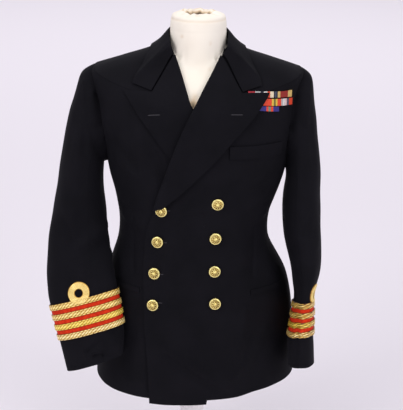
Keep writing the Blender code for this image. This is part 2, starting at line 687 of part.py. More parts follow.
def panel(name, rows, starts, columns, surface, mirrored, extra=()):
    """A body panel from its rows, each from its start angle to its side angle."""
    sign = -1.0 if mirrored else 1.0
    hem_run = rows[0][1] - starts[0]
    shares = sorted([i / columns for i in range(columns + 1)] + [(a - starts[0]) / hem_run for a in extra])
    points = []
    normals = []
    for (level_at, side), start in zip(rows, starts):
        angles = [start + (side - start) * share for share in shares]
        line = []
        facing = []
        for angle in angles:
            level = level_at(angle)
            line.append(surface(sign * angle, level))
            facing.append(surface_normal(surface, sign * angle, level))
        points.append(line)
        normals.append(facing)
    return wall(name, points, normals, CLOTH, NAVY)


def front_panels():
    """The top front, which buttons over, and the under front."""
    rows = panel_rows(FRONT_SEAM, 1.0, top_front_hem, LOWER_ROWS)
    starts = [edge_angle(TOP_FRONT_EDGE, level_at, False) for level_at, _ in rows]
    tab = angle_across(HEM_TAB_END, hem_height(0.0))
    step = angle_across(HEM_TAB_END - HEM_TAB_STEP, hem_height(0.0))
    panel("front_left", rows, starts, FRONT_COLUMNS, top_front_cloth, False, (step, tab))
    rows = panel_rows(FRONT_SEAM, 1.0, lambda angle: hem_height(-angle), LOWER_ROWS)
    starts = [edge_angle(UNDER_FRONT_EDGE, level_at, True) for level_at, _ in rows]
    panel("front_right", rows, starts, FRONT_COLUMNS, body_cloth, True)


def back_panels():
    """Two back panels with a centre seam."""
    for name, sign in (("back_left", 1.0), ("back_right", -1.0)):
        rows = panel_rows(BACK_SEAM, -1.0, lambda angle, side=sign: hem_height(side * angle), LOWER_ROWS)
        starts = [180.0 - seam_angle(0.5)] * len(rows)
        panel(name, rows, starts, BACK_COLUMNS, body_cloth, sign < 0)


def side_panels():
    """Side panels from the hem up to the armhole."""
    for name, sign in (("side_left", 1.0), ("side_right", -1.0)):
        gap = seam_angle(0.5)
        columns = [armhole_place(turn, ARMHOLE_EASE) for turn in sleeve_turns()[1][1:-1]]
        columns[0] = (columns[0][0] + gap, columns[0][1])
        columns[-1] = (columns[-1][0] - gap, columns[-1][1])
        points = []
        normals = []
        for j in range(LOWER_ROWS + 1):
            line = []
            facing = []
            for angle, top in columns:
                low = hem_height(sign * angle)
                level = low + (top - low) * j / LOWER_ROWS
                line.append(body_cloth(sign * angle, level))
                facing.append(surface_normal(body_cloth, sign * angle, level))
            points.append(line)
            normals.append(facing)
        wall(name, points, normals, CLOTH, NAVY)


# Lapels and collar

def front_place(across, height, out, surface):
    """A point on a front given by its position across and its height, moved out."""
    angle, level = front_spot(across, height)
    return surface(angle, level, out)


def rolled_edge(root, away, out, lift):
    """Three points that carry cloth round a panel's edge, up to the roll's lift."""
    return [root + away * WRAP_REACH - out * WRAP_SINK,
            root + away * WRAP_REACH + out * (WRAP_LOW_SHARE * lift),
            root + away * WRAP_CORNER + out * (WRAP_HIGH_SHARE * lift)]


def lapel(name, rows, sign, surface):
    """A folded-back lapel: it turns round the panel's edge, then lies on the panel."""
    stages = tuple(LapelStage(index / (len(rows) - 1), *row) for index, row in enumerate(rows))
    top_roll = Vector((rows[-1].roll_across, 0.0, rows[-1].roll_height))
    top_edge = Vector((rows[-1].edge_across, 0.0, rows[-1].edge_height))
    points = []
    for j in range(LAPEL_ROWS + 1):
        share = j / LAPEL_ROWS
        row = smooth_row(stages, share)
        roll_lift, edge_lift = row.roll_lift, row.edge_lift
        roll = Vector((row.roll_across, 0.0, row.roll_height))
        edge = Vector((row.edge_across, 0.0, row.edge_height))
        root = front_place(sign * roll.x, roll.z, 0.0, surface)
        beyond_at = roll - (edge - roll).normalized() * WRAP_REACH
        beyond = front_place(sign * beyond_at.x, beyond_at.z, 0.0, surface)
        angle, level = front_spot(sign * roll.x, roll.z)
        out = surface_normal(surface, angle, level)
        line = rolled_edge(root, (beyond - root).normalized(), out, roll_lift)
        for part in LAPEL_SHARES:
            dip = gorge_line(part, top_roll, top_edge) - top_roll.lerp(top_edge, part)
            place = roll.lerp(edge, part) + dip * share ** 2
            run = (place - roll).length
            lift = edge_lift + (roll_lift - edge_lift) * math.exp(-run / ROLL_REACH)
            line.append(front_place(sign * place.x, place.z, lift, surface))
        points.append(line)
    if sign < 0:
        points = [list(reversed(line)) for line in points]
    wall(name, points, grid_normals(points, False), CLOTH, NAVY)


def gorge_line(part, roll, edge):
    """The lapel's bent top edge: down the gorge seam to the notch, then out to the peak."""
    notch = Vector((NOTCH_ACROSS - SEAM_GAP, 0.0, NOTCH_HEIGHT - SEAM_GAP))
    if part < NOTCH_SHARE:
        return roll.lerp(notch, part / NOTCH_SHARE)
    return notch.lerp(edge, (part - NOTCH_SHARE) / (1.0 - NOTCH_SHARE))


def collar_row(sign, fold, edge, row, inward):
    """One row of the collar: up the stand, over the fold and down the fall to the edge."""
    down = Vector((0.0, 0.0, -1.0))
    line = [fold + inward * STAND_INSET + down * row.stand,
            fold + inward * STAND_INSET + down * STAND_TOP_DROP,
            fold + inward * FOLD_INSET - down * FOLD_RISE]
    for part in COLLAR_SHARES:
        point = fold.lerp(edge, part)
        line.append(point - down * row.bulge * math.sin(math.pi * part))
    return line if sign > 0 else list(reversed(line))


def collar_half(sign, surface):
    """Rows of half the collar from the gorge to the centre back."""
    start = GORGE_START_LEFT if sign > 0 else GORGE_START_RIGHT
    angle, level = front_spot(sign * start[0], start[1])
    out = surface_normal(surface, angle, level)
    away = Vector((sign * GORGE_INWARD, GORGE_AHEAD, GORGE_UP))
    away = (away - out * away.dot(out)).normalized()
    first = rolled_edge(surface(angle, level), away, out, GORGE_ROLL_LIFT)
    for part in COLLAR_SHARES:
        across = start[0] + (GORGE_END[0] - start[0]) * part
        height = start[1] + (GORGE_END[1] - start[1]) * part
        run = math.hypot(across - start[0], height - start[1])
        lift = GORGE_LIFT + (GORGE_ROLL_LIFT - GORGE_LIFT) * math.exp(-run / ROLL_REACH)
        first.append(front_place(sign * across, height, lift, surface))
    rows = []
    rows.append(first if sign > 0 else list(reversed(first)))
    for index, row in enumerate(COLLAR_ROWS):
        across = row.fold_left if sign > 0 else -row.fold_right
        fold = Vector((across, -row.fold_ahead, row.fold_height))
        inward = Vector((-fold.x, -fold.y, 0.0)).normalized()
        if index == 0:
            edge = front_place(sign * COLLAR_CORNER[0], COLLAR_CORNER[1], row.lift, surface)
        elif row.edge_angle < LAST_FRONT_EDGE_ANGLE:
            edge = surface(sign * row.edge_angle, row.edge_level, row.lift)
        else:
            edge = body_cloth(sign * row.edge_angle, row.edge_level, row.lift)
        rows.append(collar_row(sign, fold, edge, row, inward))
    return rows


def collar():
    """The folded collar, from one gorge round the neck to the other."""
    left = collar_half(1.0, top_front_cloth)
    right = collar_half(-1.0, body_cloth)
    around = [list(reversed(line)) for line in right]
    points = list(reversed(around + list(reversed(left))[1:]))
    points = refine_rows(points)
    wall("collar", points, grid_normals(points, False), CLOTH, NAVY)


def refine_rows(points):
    """Put a row halfway between each pair of rows, on smooth curves."""
    fine = []
    last = len(points) - 1
    for j in range(last):
        fine.append(points[j])
        middle = []
        for i in range(len(points[j])):
            before = points[max(j - 1, 0)][i]
            after = points[min(j + 2, last)][i]
            middle.append((points[j][i] + points[j + 1][i]) * 0.5625 - (before + after) * 0.0625)
        if 0 < j < last - 1:
            fine.append(middle)
    fine.append(points[last])
    return fine


# Sleeves

def sleeve_ring_point(ring, sign, turn):
    """A point of a sleeve ring: 0 on the outer side, 90 in front, 180 beside the body."""
    power = 2.0 / SLEEVE_SQUARE
    aside = signed_power(math.cos(math.radians(turn)), power)
    ahead = signed_power(math.sin(math.radians(turn)), power)
    across = (ring.inner_across + ring.outer_across) / 2 + aside * (ring.outer_across - ring.inner_across) / 2
    height = (ring.inner_height + ring.outer_height) / 2 + aside * (ring.outer_height - ring.inner_height) / 2
    height += ahead * ring.half_depth * math.sin(math.radians(ring.rise))
    return Vector((sign * across, ring.middle - ahead * ring.half_depth, height))


def sleeve_base(sign, turn, station):
    """A point of the smooth sleeve at a turn and a length from the armhole."""
    rings = SLEEVE_LEFT if sign > 0 else SLEEVE_RIGHT
    key = (sign, round(turn, 3))
    if key not in SLEEVE_COLUMNS:
        angle, level = armhole_place(turn)
        rows = [SleeveColumn(0.0, *body_base(sign * angle, level))]
        rows += [SleeveColumn(ring.station, *sleeve_ring_point(ring, sign, turn)) for ring in rings]
        SLEEVE_COLUMNS[key] = tuple(rows)
    place = smooth_row(SLEEVE_COLUMNS[key], station)
    return Vector((place.x, place.y, place.z))


def sleeve_fold_lift(sign, turn, station):
    """How far the folds move a sleeve's cloth out, with turns measured as lengths round the sleeve."""
    lift = 0.0
    turn = turn % 360.0
    for fold in SLEEVE_FOLDS:
        if fold.left == (sign > 0):
            lift += fold.lift * line_closeness(turn * METRES_PER_DEGREE, station,
                                               (fold.start_turn * METRES_PER_DEGREE, fold.start_station),
                                               (fold.end_turn * METRES_PER_DEGREE, fold.end_station),
                                               fold.width)
    return lift * ease(station / 0.03)


def sleeve_cloth(sign, turn, station, out=0.0):
    """A point of a sleeve's folded cloth, moved out."""
    base = sleeve_base(sign, turn, station)
    return base + sleeve_normal(sign, turn, station) * (out + sleeve_fold_lift(sign, turn, station))


def sleeve_normal(sign, turn, station):
    """Outward normal of a smooth sleeve."""
    station = min(max(station, 0.002), SLEEVE_WALL_STATIONS[-1] - 0.002)
    along = sleeve_base(sign, turn + 2.0, station) - sleeve_base(sign, turn - 2.0, station)
    down = sleeve_base(sign, turn, station + 0.002) - sleeve_base(sign, turn, station - 0.002)
    return (along.cross(down) * sign).normalized()


def sleeve_wall_normal(sign, turn, station):
    """Outward normal of a sleeve's wall, which starts level with the body's cloth at the armhole."""
    angle, level = armhole_place(turn)
    share = max(ease(station / 0.020), (1.0 - math.cos(math.radians(turn))) / 2)
    return body_normal(sign * angle, level).lerp(sleeve_normal(sign, turn, station), share).normalized()


def sleeve_turns():
    """Turns of the columns of a top sleeve and of an under sleeve."""
    top = [-SLEEVE_SEAM + 2 * SLEEVE_SEAM * i / TOP_SLEEVE_COLUMNS for i in range(TOP_SLEEVE_COLUMNS + 1)]
    span = 360.0 - 2 * SLEEVE_SEAM
    under = [SLEEVE_SEAM + span * i / UNDER_SLEEVE_COLUMNS for i in range(UNDER_SLEEVE_COLUMNS + 1)]
    return top, under


def sleeves():
    """Top sleeves and under sleeves, apart by the seam gap."""
    top, under = sleeve_turns()
    for side, sign in (("left", 1.0), ("right", -1.0)):
        for kind, turns in (("top_sleeve", top), ("under_sleeve", under)):
            inset = [turns[0] + SLEEVE_SEAM_GAP] + turns[1:-1] + [turns[-1] - SLEEVE_SEAM_GAP]
            points = []
            normals = []
            for station in SLEEVE_WALL_STATIONS:
                points.append([sleeve_cloth(sign, turn, station) for turn in inset])
                normals.append([sleeve_wall_normal(sign, turn, station) for turn in inset])
            wall(f"{kind}_{side}", points, normals, CLOTH, NAVY)


# Cuff lace

def cuff_point(sign, turn, share, out):
    """A point over the straight stretch of the sleeve between the top and the bottom of the lace."""
    top = sleeve_cloth(sign, turn, LACE_TOP_STATION)
    bottom = sleeve_cloth(sign, turn, LACE_BOTTOM_STATION)
    middle = (LACE_TOP_STATION + LACE_BOTTOM_STATION) / 2
    return top.lerp(bottom, share) + sleeve_normal(sign, turn, middle) * out


def cuff_ring(name, sign, start, end, out, thickness, colour):
    """A band round the cuff between two shares of the lace's depth."""
    top, under = sleeve_turns()
    turns = top[:-1] + under[:-1]
    middle = (LACE_TOP_STATION + LACE_BOTTOM_STATION) / 2
    points = [[cuff_point(sign, turn, share, out + thickness) for turn in turns] for share in (start, end)]
    normals = [[sleeve_normal(sign, turn, middle) for turn in turns] for _ in range(2)]
    wall(name, points, normals, thickness, colour, wrap=True)


def curl(name, sign, turn):
    """The ring that stands on the top row of lace, flat where it meets the row."""
    station = LACE_TOP_STATION - CURL_RISE
    step = 4.0
    run = (sleeve_base(sign, turn + step, station) - sleeve_base(sign, turn - step, station)).length
    turns_per_metre = 2 * step / run
    build_points = []
    facing = []
    for share in CURL_RADIUS_SHARES:
        radius = CURL_INNER_RADIUS + (CURL_OUTER_RADIUS - CURL_INNER_RADIUS) * share
        line = []
        normals = []
        for i in range(CURL_POINTS):
            around = 2 * math.pi * i / CURL_POINTS
            place_turn = turn + radius * math.cos(around) * turns_per_metre
            place_station = station - radius * math.sin(around)
            place_station = min(place_station, LACE_TOP_STATION - CLEAR)
            line.append(sleeve_cloth(sign, place_turn, place_station, CLEAR + LACE_THICKNESS))
            normals.append(sleeve_normal(sign, place_turn, place_station))
        build_points.append(line)
        facing.append(normals)
    wall(name, build_points, facing, LACE_THICKNESS, GOLD_LACE, wrap=True)


def cuffs():
    """Coloured cloth, rows of lace and the curl on each cuff."""
    band = LACE_BOTTOM_STATION - LACE_TOP_STATION
    for side, sign, turn in (("left", 1.0, CURL_TURN_LEFT), ("right", -1.0, CURL_TURN_RIGHT)):
        cuff_ring(f"cuff_cloth_{side}", sign, 0.004, 0.996, SEAM_GAP, CUFF_CLOTH_THICKNESS, RED_CLOTH)
        for row in range(LACE_ROWS):
            start = row * (LACE_WIDTH + LACE_SPACE) / band
            end = start + LACE_WIDTH / band
            cuff_ring(f"lace_{row + 1}_{side}", sign, start, min(end, 1.0),
                      SEAM_GAP + CUFF_CLOTH_THICKNESS + LACE_GAP, LACE_THICKNESS, GOLD_LACE)
        curl(f"curl_{side}", sign, turn)


# Small pieces on the fronts

def buttons():
    """Domed buttons on short shanks, seated on the top front."""
    for place in BUTTONS:
        angle, level = front_spot(place.across, place.height)
        seat = top_front_cloth(angle, level)
        axis = surface_normal(top_front_cloth, angle, level)
        turned(place.name, BUTTON_PROFILE, BUTTON_SIDES, GILT, seat, axis, BUTTON_TOP)


def strips():
    """Welt, pocket jettings and ribbon rows, made from the front they lie on."""
    for strip in STRIPS:
        sign = -1.0 if strip.mirrored else 1.0
        surface = body_cloth if strip.mirrored else top_front_cloth
        points = []
        normals = []
        for row_share in STRIP_ROW_SHARES:
            line = []
            facing = []
            for i in range(STRIP_COLUMNS + 1):
                share = i / STRIP_COLUMNS
                across = strip.start_across + (strip.end_across - strip.start_across) * share
                low = strip.start_low + (strip.end_low - strip.start_low) * share
                high = strip.start_high + (strip.end_high - strip.start_high) * share
                angle, level = front_spot(sign * across, low + (high - low) * row_share)
                line.append(surface(angle, level, strip.gap + strip.thickness))
                facing.append(surface_normal(surface, angle, level))
            points.append(line)
            normals.append(facing)
        wall(strip.name, points, normals, strip.thickness, strip.colour)


# Dress form and stand

def form_torso():
    """The limbless form: inside the cloth up to the shoulders, then its neck with a domed top."""
    rings = []
    for level in FORM_LEVELS:
        inset = smooth_row(FORM_INSETS, level).inset
        ring = []
        for i in range(FORM_SIDES):
            angle = 360.0 * i / FORM_SIDES
            ring.append(body_base(angle, level) - body_normal(angle, level) * inset)
        if level == FORM_LEVELS[0]:
            ring = [Vector((p.x, p.y, FORM_BOTTOM)) for p in ring]
        rings.append(ring)
    for neck in NECK_RINGS:
        ring = []
        for i in range(FORM_SIDES):
            angle = 2 * math.pi * i / FORM_SIDES
            ahead = math.cos(angle)
            depth = neck.front if ahead >= 0 else neck.back
            drop = neck.front_drop if ahead >= 0 else 0.0
            ring.append(Vector((neck.half * math.sin(angle), -depth * ahead,
                                neck.height - drop * ahead * ahead)))
        rings.append(ring)
    stacked_rings("form_torso", rings, CREAM)


def stand():
    """The pole under the form and the round base it stands in."""
    turned("base", BASE_PROFILE, 48, CREAM)
    pole = ((POLE_RADIUS, STAND_BASE_HEIGHT + SEAM_GAP), (POLE_RADIUS, FORM_BOTTOM - SEAM_GAP))
    turned("pole", pole, 32, CREAM)


def main():
    """Build every piece."""
    clear_scene()
    front_panels()
    back_panels()
    side_panels()
    lapel("lapel_left", LAPEL_LEFT, 1.0, top_front_cloth)
    lapel("lapel_right", LAPEL_RIGHT, -1.0, body_cloth)
    collar()
    sleeves()
    cuffs()
    buttons()
    strips()
    form_torso()
    stand()


main()
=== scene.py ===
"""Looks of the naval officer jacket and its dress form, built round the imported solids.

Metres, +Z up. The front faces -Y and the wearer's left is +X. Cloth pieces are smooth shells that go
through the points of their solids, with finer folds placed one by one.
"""
import math
from collections import namedtuple

import bmesh
import bpy
import numpy as np
from mathutils import Matrix, Vector
from mathutils.bvhtree import BVHTree


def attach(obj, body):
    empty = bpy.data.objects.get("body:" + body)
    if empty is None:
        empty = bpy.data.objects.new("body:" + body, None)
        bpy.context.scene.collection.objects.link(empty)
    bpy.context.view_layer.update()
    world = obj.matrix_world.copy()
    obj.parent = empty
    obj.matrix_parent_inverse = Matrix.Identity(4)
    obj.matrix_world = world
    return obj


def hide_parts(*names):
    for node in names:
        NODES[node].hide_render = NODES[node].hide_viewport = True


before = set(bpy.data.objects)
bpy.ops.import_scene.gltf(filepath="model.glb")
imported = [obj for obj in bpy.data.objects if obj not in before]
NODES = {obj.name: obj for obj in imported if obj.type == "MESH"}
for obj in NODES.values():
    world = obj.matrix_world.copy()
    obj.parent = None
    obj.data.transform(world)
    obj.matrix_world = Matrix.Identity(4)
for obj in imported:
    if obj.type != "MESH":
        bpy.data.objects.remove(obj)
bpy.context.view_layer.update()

# Camera: the photo's frame and how the camera stands to the jacket
PHOTO_WIDTH = 403
PHOTO_HEIGHT = 410
FOCAL_PIXELS = 1200.0
CAMERA_DISTANCE = 2.45
CAMERA_ELEVATION = 18.0
CAMERA_ROLL = 1.08
CAMERA_TARGET = Vector((0.0125, 0.0, 0.60))
SENSOR_HEIGHT = 24.0

# Shells: how close points are welded, which edges are rims, and how near a seam's two sides are
WELD = 0.00002
RIM_ANGLE = math.radians(50)
SEAM_REACH = 0.0048
ARMHOLE_REACH = 0.0036
SEAM_OVERLAP = 0.00025
FINE_LEVEL = 3
PLAIN_LEVEL = 2

# Cuff lace: columns round the wrist, rows across a band, and the sizes of its weave
LACE_COLUMNS = 336
LACE_LINES = 15
LACE_BODY = 0.0010
LACE_STRANDS = {"right": 42, "left": 16}
LACE_SLANT = 2.1
STRAND_DEPTH = 0.00030
CORD_RISE = 0.00045
LACE_RISE = 0.00035
LACE_EDGE_DROP = 0.0006
LACE_RIPPLE = {"right": 0.0002, "left": 0.0008}
CLOTH_BELOW_LACE = 0.0016
CLOTH_INSET = 0.04
CLOTH_LINES = 19
# Painted shade on the inner faces of the lace rows and curls
LACE_UNDERSIDE_SHADE = 0.1

# Curls on the top row of lace
CURL_RADIUS = 0.0222
CURL_HOLE = 0.0082
CURL_RISE = 0.0116
CURL_THREADS = 6
CURL_TWISTS = 46
CURL_LIFT = 0.0019
CURL_OVER_LACE = 0.0034
CURL_THREAD_RISE = 0.0004
CURL_EDGE_DROP = 0.0012
CURL_BODY = 0.0022
CURL_TURNS = 120
CURL_RINGS = 25
CURL_PROBE = 0.03

# Buttons: the relief on the dome
BUTTON_RADIUS = 0.0115
BUTTON_RINGS = 26
BUTTON_TURNS = 112
BUTTON_FACE_DROP = 0.0031
# Painted shade on the back of each button
BUTTON_BACK_SHADE = 0.15
DOME_RISE = 0.0030
RIM_RISE = 0.00045
ROPE_RADIUS = 0.0093
ROPE_WIDTH = 0.0009
ROPE_TWISTS = 30
ROPE_SLANT = 900
STAR_POINTS = 8
STAR_REACH = 0.0056
STAR_RISE = 0.00045
RAY_RISE = 0.00040
BOSS_RADIUS = 0.0018
BOSS_RISE = 0.0005
LEAF_RADIUS = 0.0066
LEAF_COUNT = 11
LEAF_SLANT = 500
LEAF_RISE = 0.0004


# Numbers

def ease(value):
    """0 to 1 with soft ends, for arrays too."""
    value = np.clip(value, 0.0, 1.0)
    return value * value * (3 - 2 * value)


def hump(value, middle, width):
    """A soft hump of height 1."""
    return np.exp(-((value - middle) / width) ** 2)


def segment_distance(first, second, start, end):
    """Distance from points to a segment in a plane."""
    run = np.array(end, float) - np.array(start, float)
    share = ((first - start[0]) * run[0] + (second - start[1]) * run[1]) / (run @ run)
    share = np.clip(share, 0.0, 1.0)
    return np.hypot(first - start[0] - share * run[0], second - start[1] - share * run[1])


def mesh_points(mesh):
    """A mesh's points as an array."""
    points = np.empty(len(mesh.vertices) * 3)
    mesh.vertices.foreach_get("co", points)
    return points.reshape(-1, 3)


def put_points(mesh, points):
    """Write an array of points back to a mesh."""
    mesh.vertices.foreach_set("co", np.ascontiguousarray(points).ravel())
    mesh.update()


def put_values(mesh, name, values):
    """Store one number for each point of a mesh."""
    layer = mesh.attributes.new(name, "FLOAT", "POINT")
    layer.data.foreach_set("value", np.asarray(values, dtype=np.float32))


def unit(vectors):
    """Vectors of length one."""
    return vectors / np.maximum(np.linalg.norm(vectors, axis=-1, keepdims=True), 1e-12)


# Folds: soft ridges, or troughs where the lift is below zero, each along a line seen from the front or
# from behind
Fold = namedtuple("Fold", "ahead start_across start_height end_across end_height width lift")
BODY_FOLDS = (
    Fold(True, -0.0541, 0.5602, -0.0827, 0.5178, 0.0060, 0.0012),
    Fold(True, -0.0480, 0.5500, -0.0700, 0.5100, 0.0070, -0.0008),
    Fold(True, -0.0600, 0.4960, -0.0860, 0.4600, 0.0060, 0.0010),
    Fold(True, -0.0580, 0.6210, -0.0330, 0.6080, 0.0060, 0.0010),
    Fold(True, 0.0330, 0.6380, -0.0250, 0.6230, 0.0080, 0.0009),
    Fold(True, 0.0300, 0.5660, -0.0380, 0.5540, 0.0080, 0.0010),
    Fold(True, 0.0310, 0.4990, -0.0400, 0.4890, 0.0090, 0.0010),
    Fold(True, 0.0310, 0.4310, -0.0420, 0.4210, 0.0100, -0.0010),
    Fold(True, -0.0634, 0.3474, 0.0739, 0.2570, 0.0110, 0.0020),
    Fold(True, -0.0560, 0.3250, 0.0480, 0.2560, 0.0090, -0.0016),
    Fold(True, 0.1022, 0.4194, 0.0860, 0.2796, 0.0090, 0.0020),
    Fold(True, 0.1426, 0.3700, 0.0982, 0.2920, 0.0100, 0.0016),
    Fold(True, 0.1190, 0.3600, 0.0930, 0.2650, 0.0080, -0.0016),
    Fold(True, -0.1150, 0.4200, -0.1260, 0.2700, 0.0120, -0.0016),
    Fold(True, -0.0960, 0.3900, -0.1000, 0.2600, 0.0140, 0.0014),
    Fold(True, 0.1180, 0.5960, 0.1180, 0.4880, 0.0034, -0.0011),
    Fold(True, -0.1215, 0.5960, -0.1215, 0.4880, 0.0034, -0.0011),
    Fold(True, -0.0776, 0.7340, -0.0510, 0.6500, 0.0120, -0.0018),
    Fold(True, -0.1120, 0.8050, -0.1010, 0.7000, 0.0160, 0.0014),
    Fold(True, -0.1530, 0.7500, -0.1180, 0.7050, 0.0090, -0.0014),
    Fold(True, -0.1500, 0.7200, -0.1200, 0.6900, 0.0080, 0.0012),
    Fold(True, 0.1560, 0.7200, 0.1250, 0.6850, 0.0080, 0.0012),
    Fold(True, 0.1620, 0.7000, 0.1400, 0.6600, 0.0080, -0.0012),
    Fold(True, 0.0980, 0.7000, 0.0640, 0.6600, 0.0120, -0.0010),
    Fold(True, 0.1420, 0.6300, 0.1050, 0.6180, 0.0070, -0.0010),
    Fold(True, 0.1400, 0.6050, 0.1100, 0.5900, 0.0070, 0.0010),
    Fold(True, -0.1440, 0.6200, -0.1100, 0.6080, 0.0070, -0.0010),
    Fold(True, -0.1420, 0.5950, -0.1120, 0.5800, 0.0070, 0.0010),
    Fold(False, -0.1420, 0.6300, -0.0700, 0.6020, 0.0100, 0.0018),
    Fold(False, -0.1350, 0.5900, -0.0600, 0.5720, 0.0090, -0.0014),
    Fold(False, 0.1420, 0.6280, 0.0660, 0.5980, 0.0100, 0.0018),
    Fold(False, 0.1350, 0.5860, 0.0580, 0.5700, 0.0090, -0.0014),
    Fold(False, -0.1300, 0.8200, -0.1100, 0.7200, 0.0150, 0.0020),
    Fold(False, 0.1280, 0.8250, 0.1060, 0.7150, 0.0150, 0.0020),
    Fold(False, -0.1050, 0.7900, -0.0900, 0.7000, 0.0120, -0.0012),
    Fold(False, 0.1050, 0.7900, 0.0860, 0.7000, 0.0120, -0.0012),
    Fold(False, -0.0500, 0.8850, 0.0480, 0.8820, 0.0100, -0.0014),
    Fold(False, -0.0600, 0.4300, -0.0700, 0.2600, 0.0130, -0.0018),
    Fold(False, 0.0560, 0.4300, 0.0640, 0.2600, 0.0130, -0.0018),
    Fold(False, -0.1300, 0.4000, -0.1450, 0.2700, 0.0120, 0.0018),
    Fold(False, 0.1320, 0.4000, 0.1450, 0.2700, 0.0120, 0.0018),
)
# The same on a sleeve, where ahead means before the sleeve's middle
SLEEVE_FOLDS_RIGHT = (
    Fold(True, -0.2452, 0.6059, -0.2374, 0.5660, 0.0110, 0.0022),
    Fold(True, -0.2520, 0.5900, -0.2440, 0.5560, 0.0090, -0.0016),
    Fold(True, -0.2177, 0.8200, -0.2179, 0.6600, 0.0120, -0.0018),
    Fold(True, -0.2330, 0.7900, -0.2380, 0.6700, 0.0140, 0.0014),
    Fold(True, -0.1934, 0.8370, -0.1853, 0.7820, 0.0080, -0.0020),
    Fold(True, -0.2050, 0.8450, -0.2020, 0.7900, 0.0090, 0.0014),
    Fold(True, -0.1475, 0.3798, -0.2097, 0.3341, 0.0050, -0.0026),
    Fold(True, -0.1560, 0.3660, -0.2120, 0.3260, 0.0060, 0.0020),
    Fold(True, -0.1945, 0.3280, -0.1683, 0.3256, 0.0050, -0.0030),
    Fold(True, -0.1800, 0.5700, -0.2300, 0.5450, 0.0100, 0.0018),
    Fold(True, -0.1760, 0.5450, -0.2250, 0.5200, 0.0090, -0.0016),
    Fold(True, -0.1680, 0.5150, -0.2150, 0.4950, 0.0090, 0.0014),
    Fold(False, -0.2000, 0.5900, -0.2700, 0.5600, 0.0100, 0.0018),
    Fold(False, -0.1900, 0.5600, -0.2750, 0.5350, 0.0100, -0.0018),
    Fold(False, -0.1850, 0.5300, -0.2700, 0.5100, 0.0090, 0.0016),
    Fold(False, -0.2150, 0.8100, -0.2250, 0.7000, 0.0120, -0.0014),
)
SLEEVE_FOLDS_LEFT = (
    Fold(True, 0.2049, 0.4600, 0.2065, 0.3500, 0.0040, -0.0022),
    Fold(True, 0.2000, 0.5700, 0.2400, 0.5500, 0.0090, 0.0016),
    Fold(True, 0.1980, 0.5400, 0.2380, 0.5250, 0.0090, -0.0014),
    Fold(True, 0.1960, 0.7900, 0.1990, 0.6700, 0.0120, 0.0014),
    Fold(True, 0.2120, 0.7800, 0.2140, 0.6400, 0.0110, -0.0014),
    Fold(True, 0.1920, 0.8350, 0.1840, 0.7800, 0.0080, -0.0020),
    Fold(True, 0.2140, 0.3500, 0.2300, 0.3150, 0.0080, 0.0014),
    Fold(False, 0.1950, 0.5900, 0.2450, 0.5650, 0.0100, 0.0018),
    Fold(False, 0.1950, 0.5600, 0.2450, 0.5400, 0.0100, -0.0016),
    Fold(False, 0.2100, 0.8100, 0.2150, 0.7000, 0.0120, -0.0014),
)
WAVER = 0.0007
FOLD_GAIN = 2.0


def fold_lift(points, folds, ahead):
    """How far a table's folds move each point out, with a slight waver over the whole cloth."""
    across, height = points[:, 0], points[:, 2]
    lift = WAVER * np.sin(31 * across + 23 * height + 1.3) * np.sin(47 * height - 17 * across)
    lift += 0.6 * WAVER * np.sin(83 * across - 29 * height) * np.sin(71 * height + 37 * across + 0.7)
    for fold in folds:
        near = segment_distance(across, height, (fold.start_across, fold.start_height),
                                (fold.end_across, fold.end_height))
        width = fold.width * (1.0 + 0.25 * np.sin(60 * height + 40 * across))
        lift += np.where(ahead == fold.ahead, FOLD_GAIN * fold.lift * np.exp(-(near / width) ** 2), 0.0)
    return lift


def body_moved(points):
    """Points of the body's cloth with the finer folds added, outwards from the body's middle."""
    out = unit(points * np.array((1 / 0.19 ** 2, 1 / 0.125 ** 2, 0.0)))
    lift = fold_lift(points, BODY_FOLDS, points[:, 1] < 0)
    lift *= ease(np.abs(points[:, 1]) / 0.03) * ease((0.93 - points[:, 2]) / 0.05)
    return points + out * lift[:, None]


class Limb:
    """A sleeve's middle line, found from its two solids."""

    def __init__(self, side):
        nodes = [NODES[f"top_sleeve_{side}"], NODES[f"under_sleeve_{side}"]]
        cloud = np.vstack([mesh_points(item.data) for item in nodes])
        levels = np.linspace(cloud[:, 2].min(), cloud[:, 2].max(), 15)
        rows = []
        for low, high in zip(levels, levels[1:]):
            inside = cloud[(cloud[:, 2] >= low - 0.01) & (cloud[:, 2] <= high + 0.01)]
            middle = (inside.max(axis=0) + inside.min(axis=0)) / 2
            rows.append(((low + high) / 2, middle[0], middle[1]))
        self.rows = np.array(rows)
        self.folds = SLEEVE_FOLDS_LEFT if side == "left" else SLEEVE_FOLDS_RIGHT
        self.top = cloud[:, 2].max()

    def middle(self, points):
        """The middle line's across and ahead at each point's height."""
        heights = self.rows[:, 0]
        return (np.interp(points[:, 2], heights, self.rows[:, 1]),
                np.interp(points[:, 2], heights, self.rows[:, 2]))

    def moved(self, points):
        """Points of a sleeve's cloth with the finer folds added, outwards from its middle line."""
        across, along = self.middle(points)
        away = np.stack([points[:, 0] - across, points[:, 1] - along, np.zeros(len(points))], axis=1)
        lift = fold_lift(points, self.folds, points[:, 1] < along)
        lift *= ease((self.top - points[:, 2]) / 0.05) * ease(np.abs(points[:, 1] - along) / 0.012)
        return points + unit(away) * lift[:, None]


LIMBS = {"left": Limb("left"), "right": Limb("right")}


# Shells

def linked(name, mesh):
    """An object in the scene."""
    item = bpy.data.objects.new(name, mesh)
    bpy.context.scene.collection.objects.link(item)
    return item


def applied(item):
    """Apply an object's modifiers."""
    evaluated = item.evaluated_get(bpy.context.evaluated_depsgraph_get())
    mesh = bpy.data.meshes.new_from_object(evaluated)
    item.modifiers.clear()
    old = item.data
    item.data = mesh
    bpy.data.meshes.remove(old)
    return item


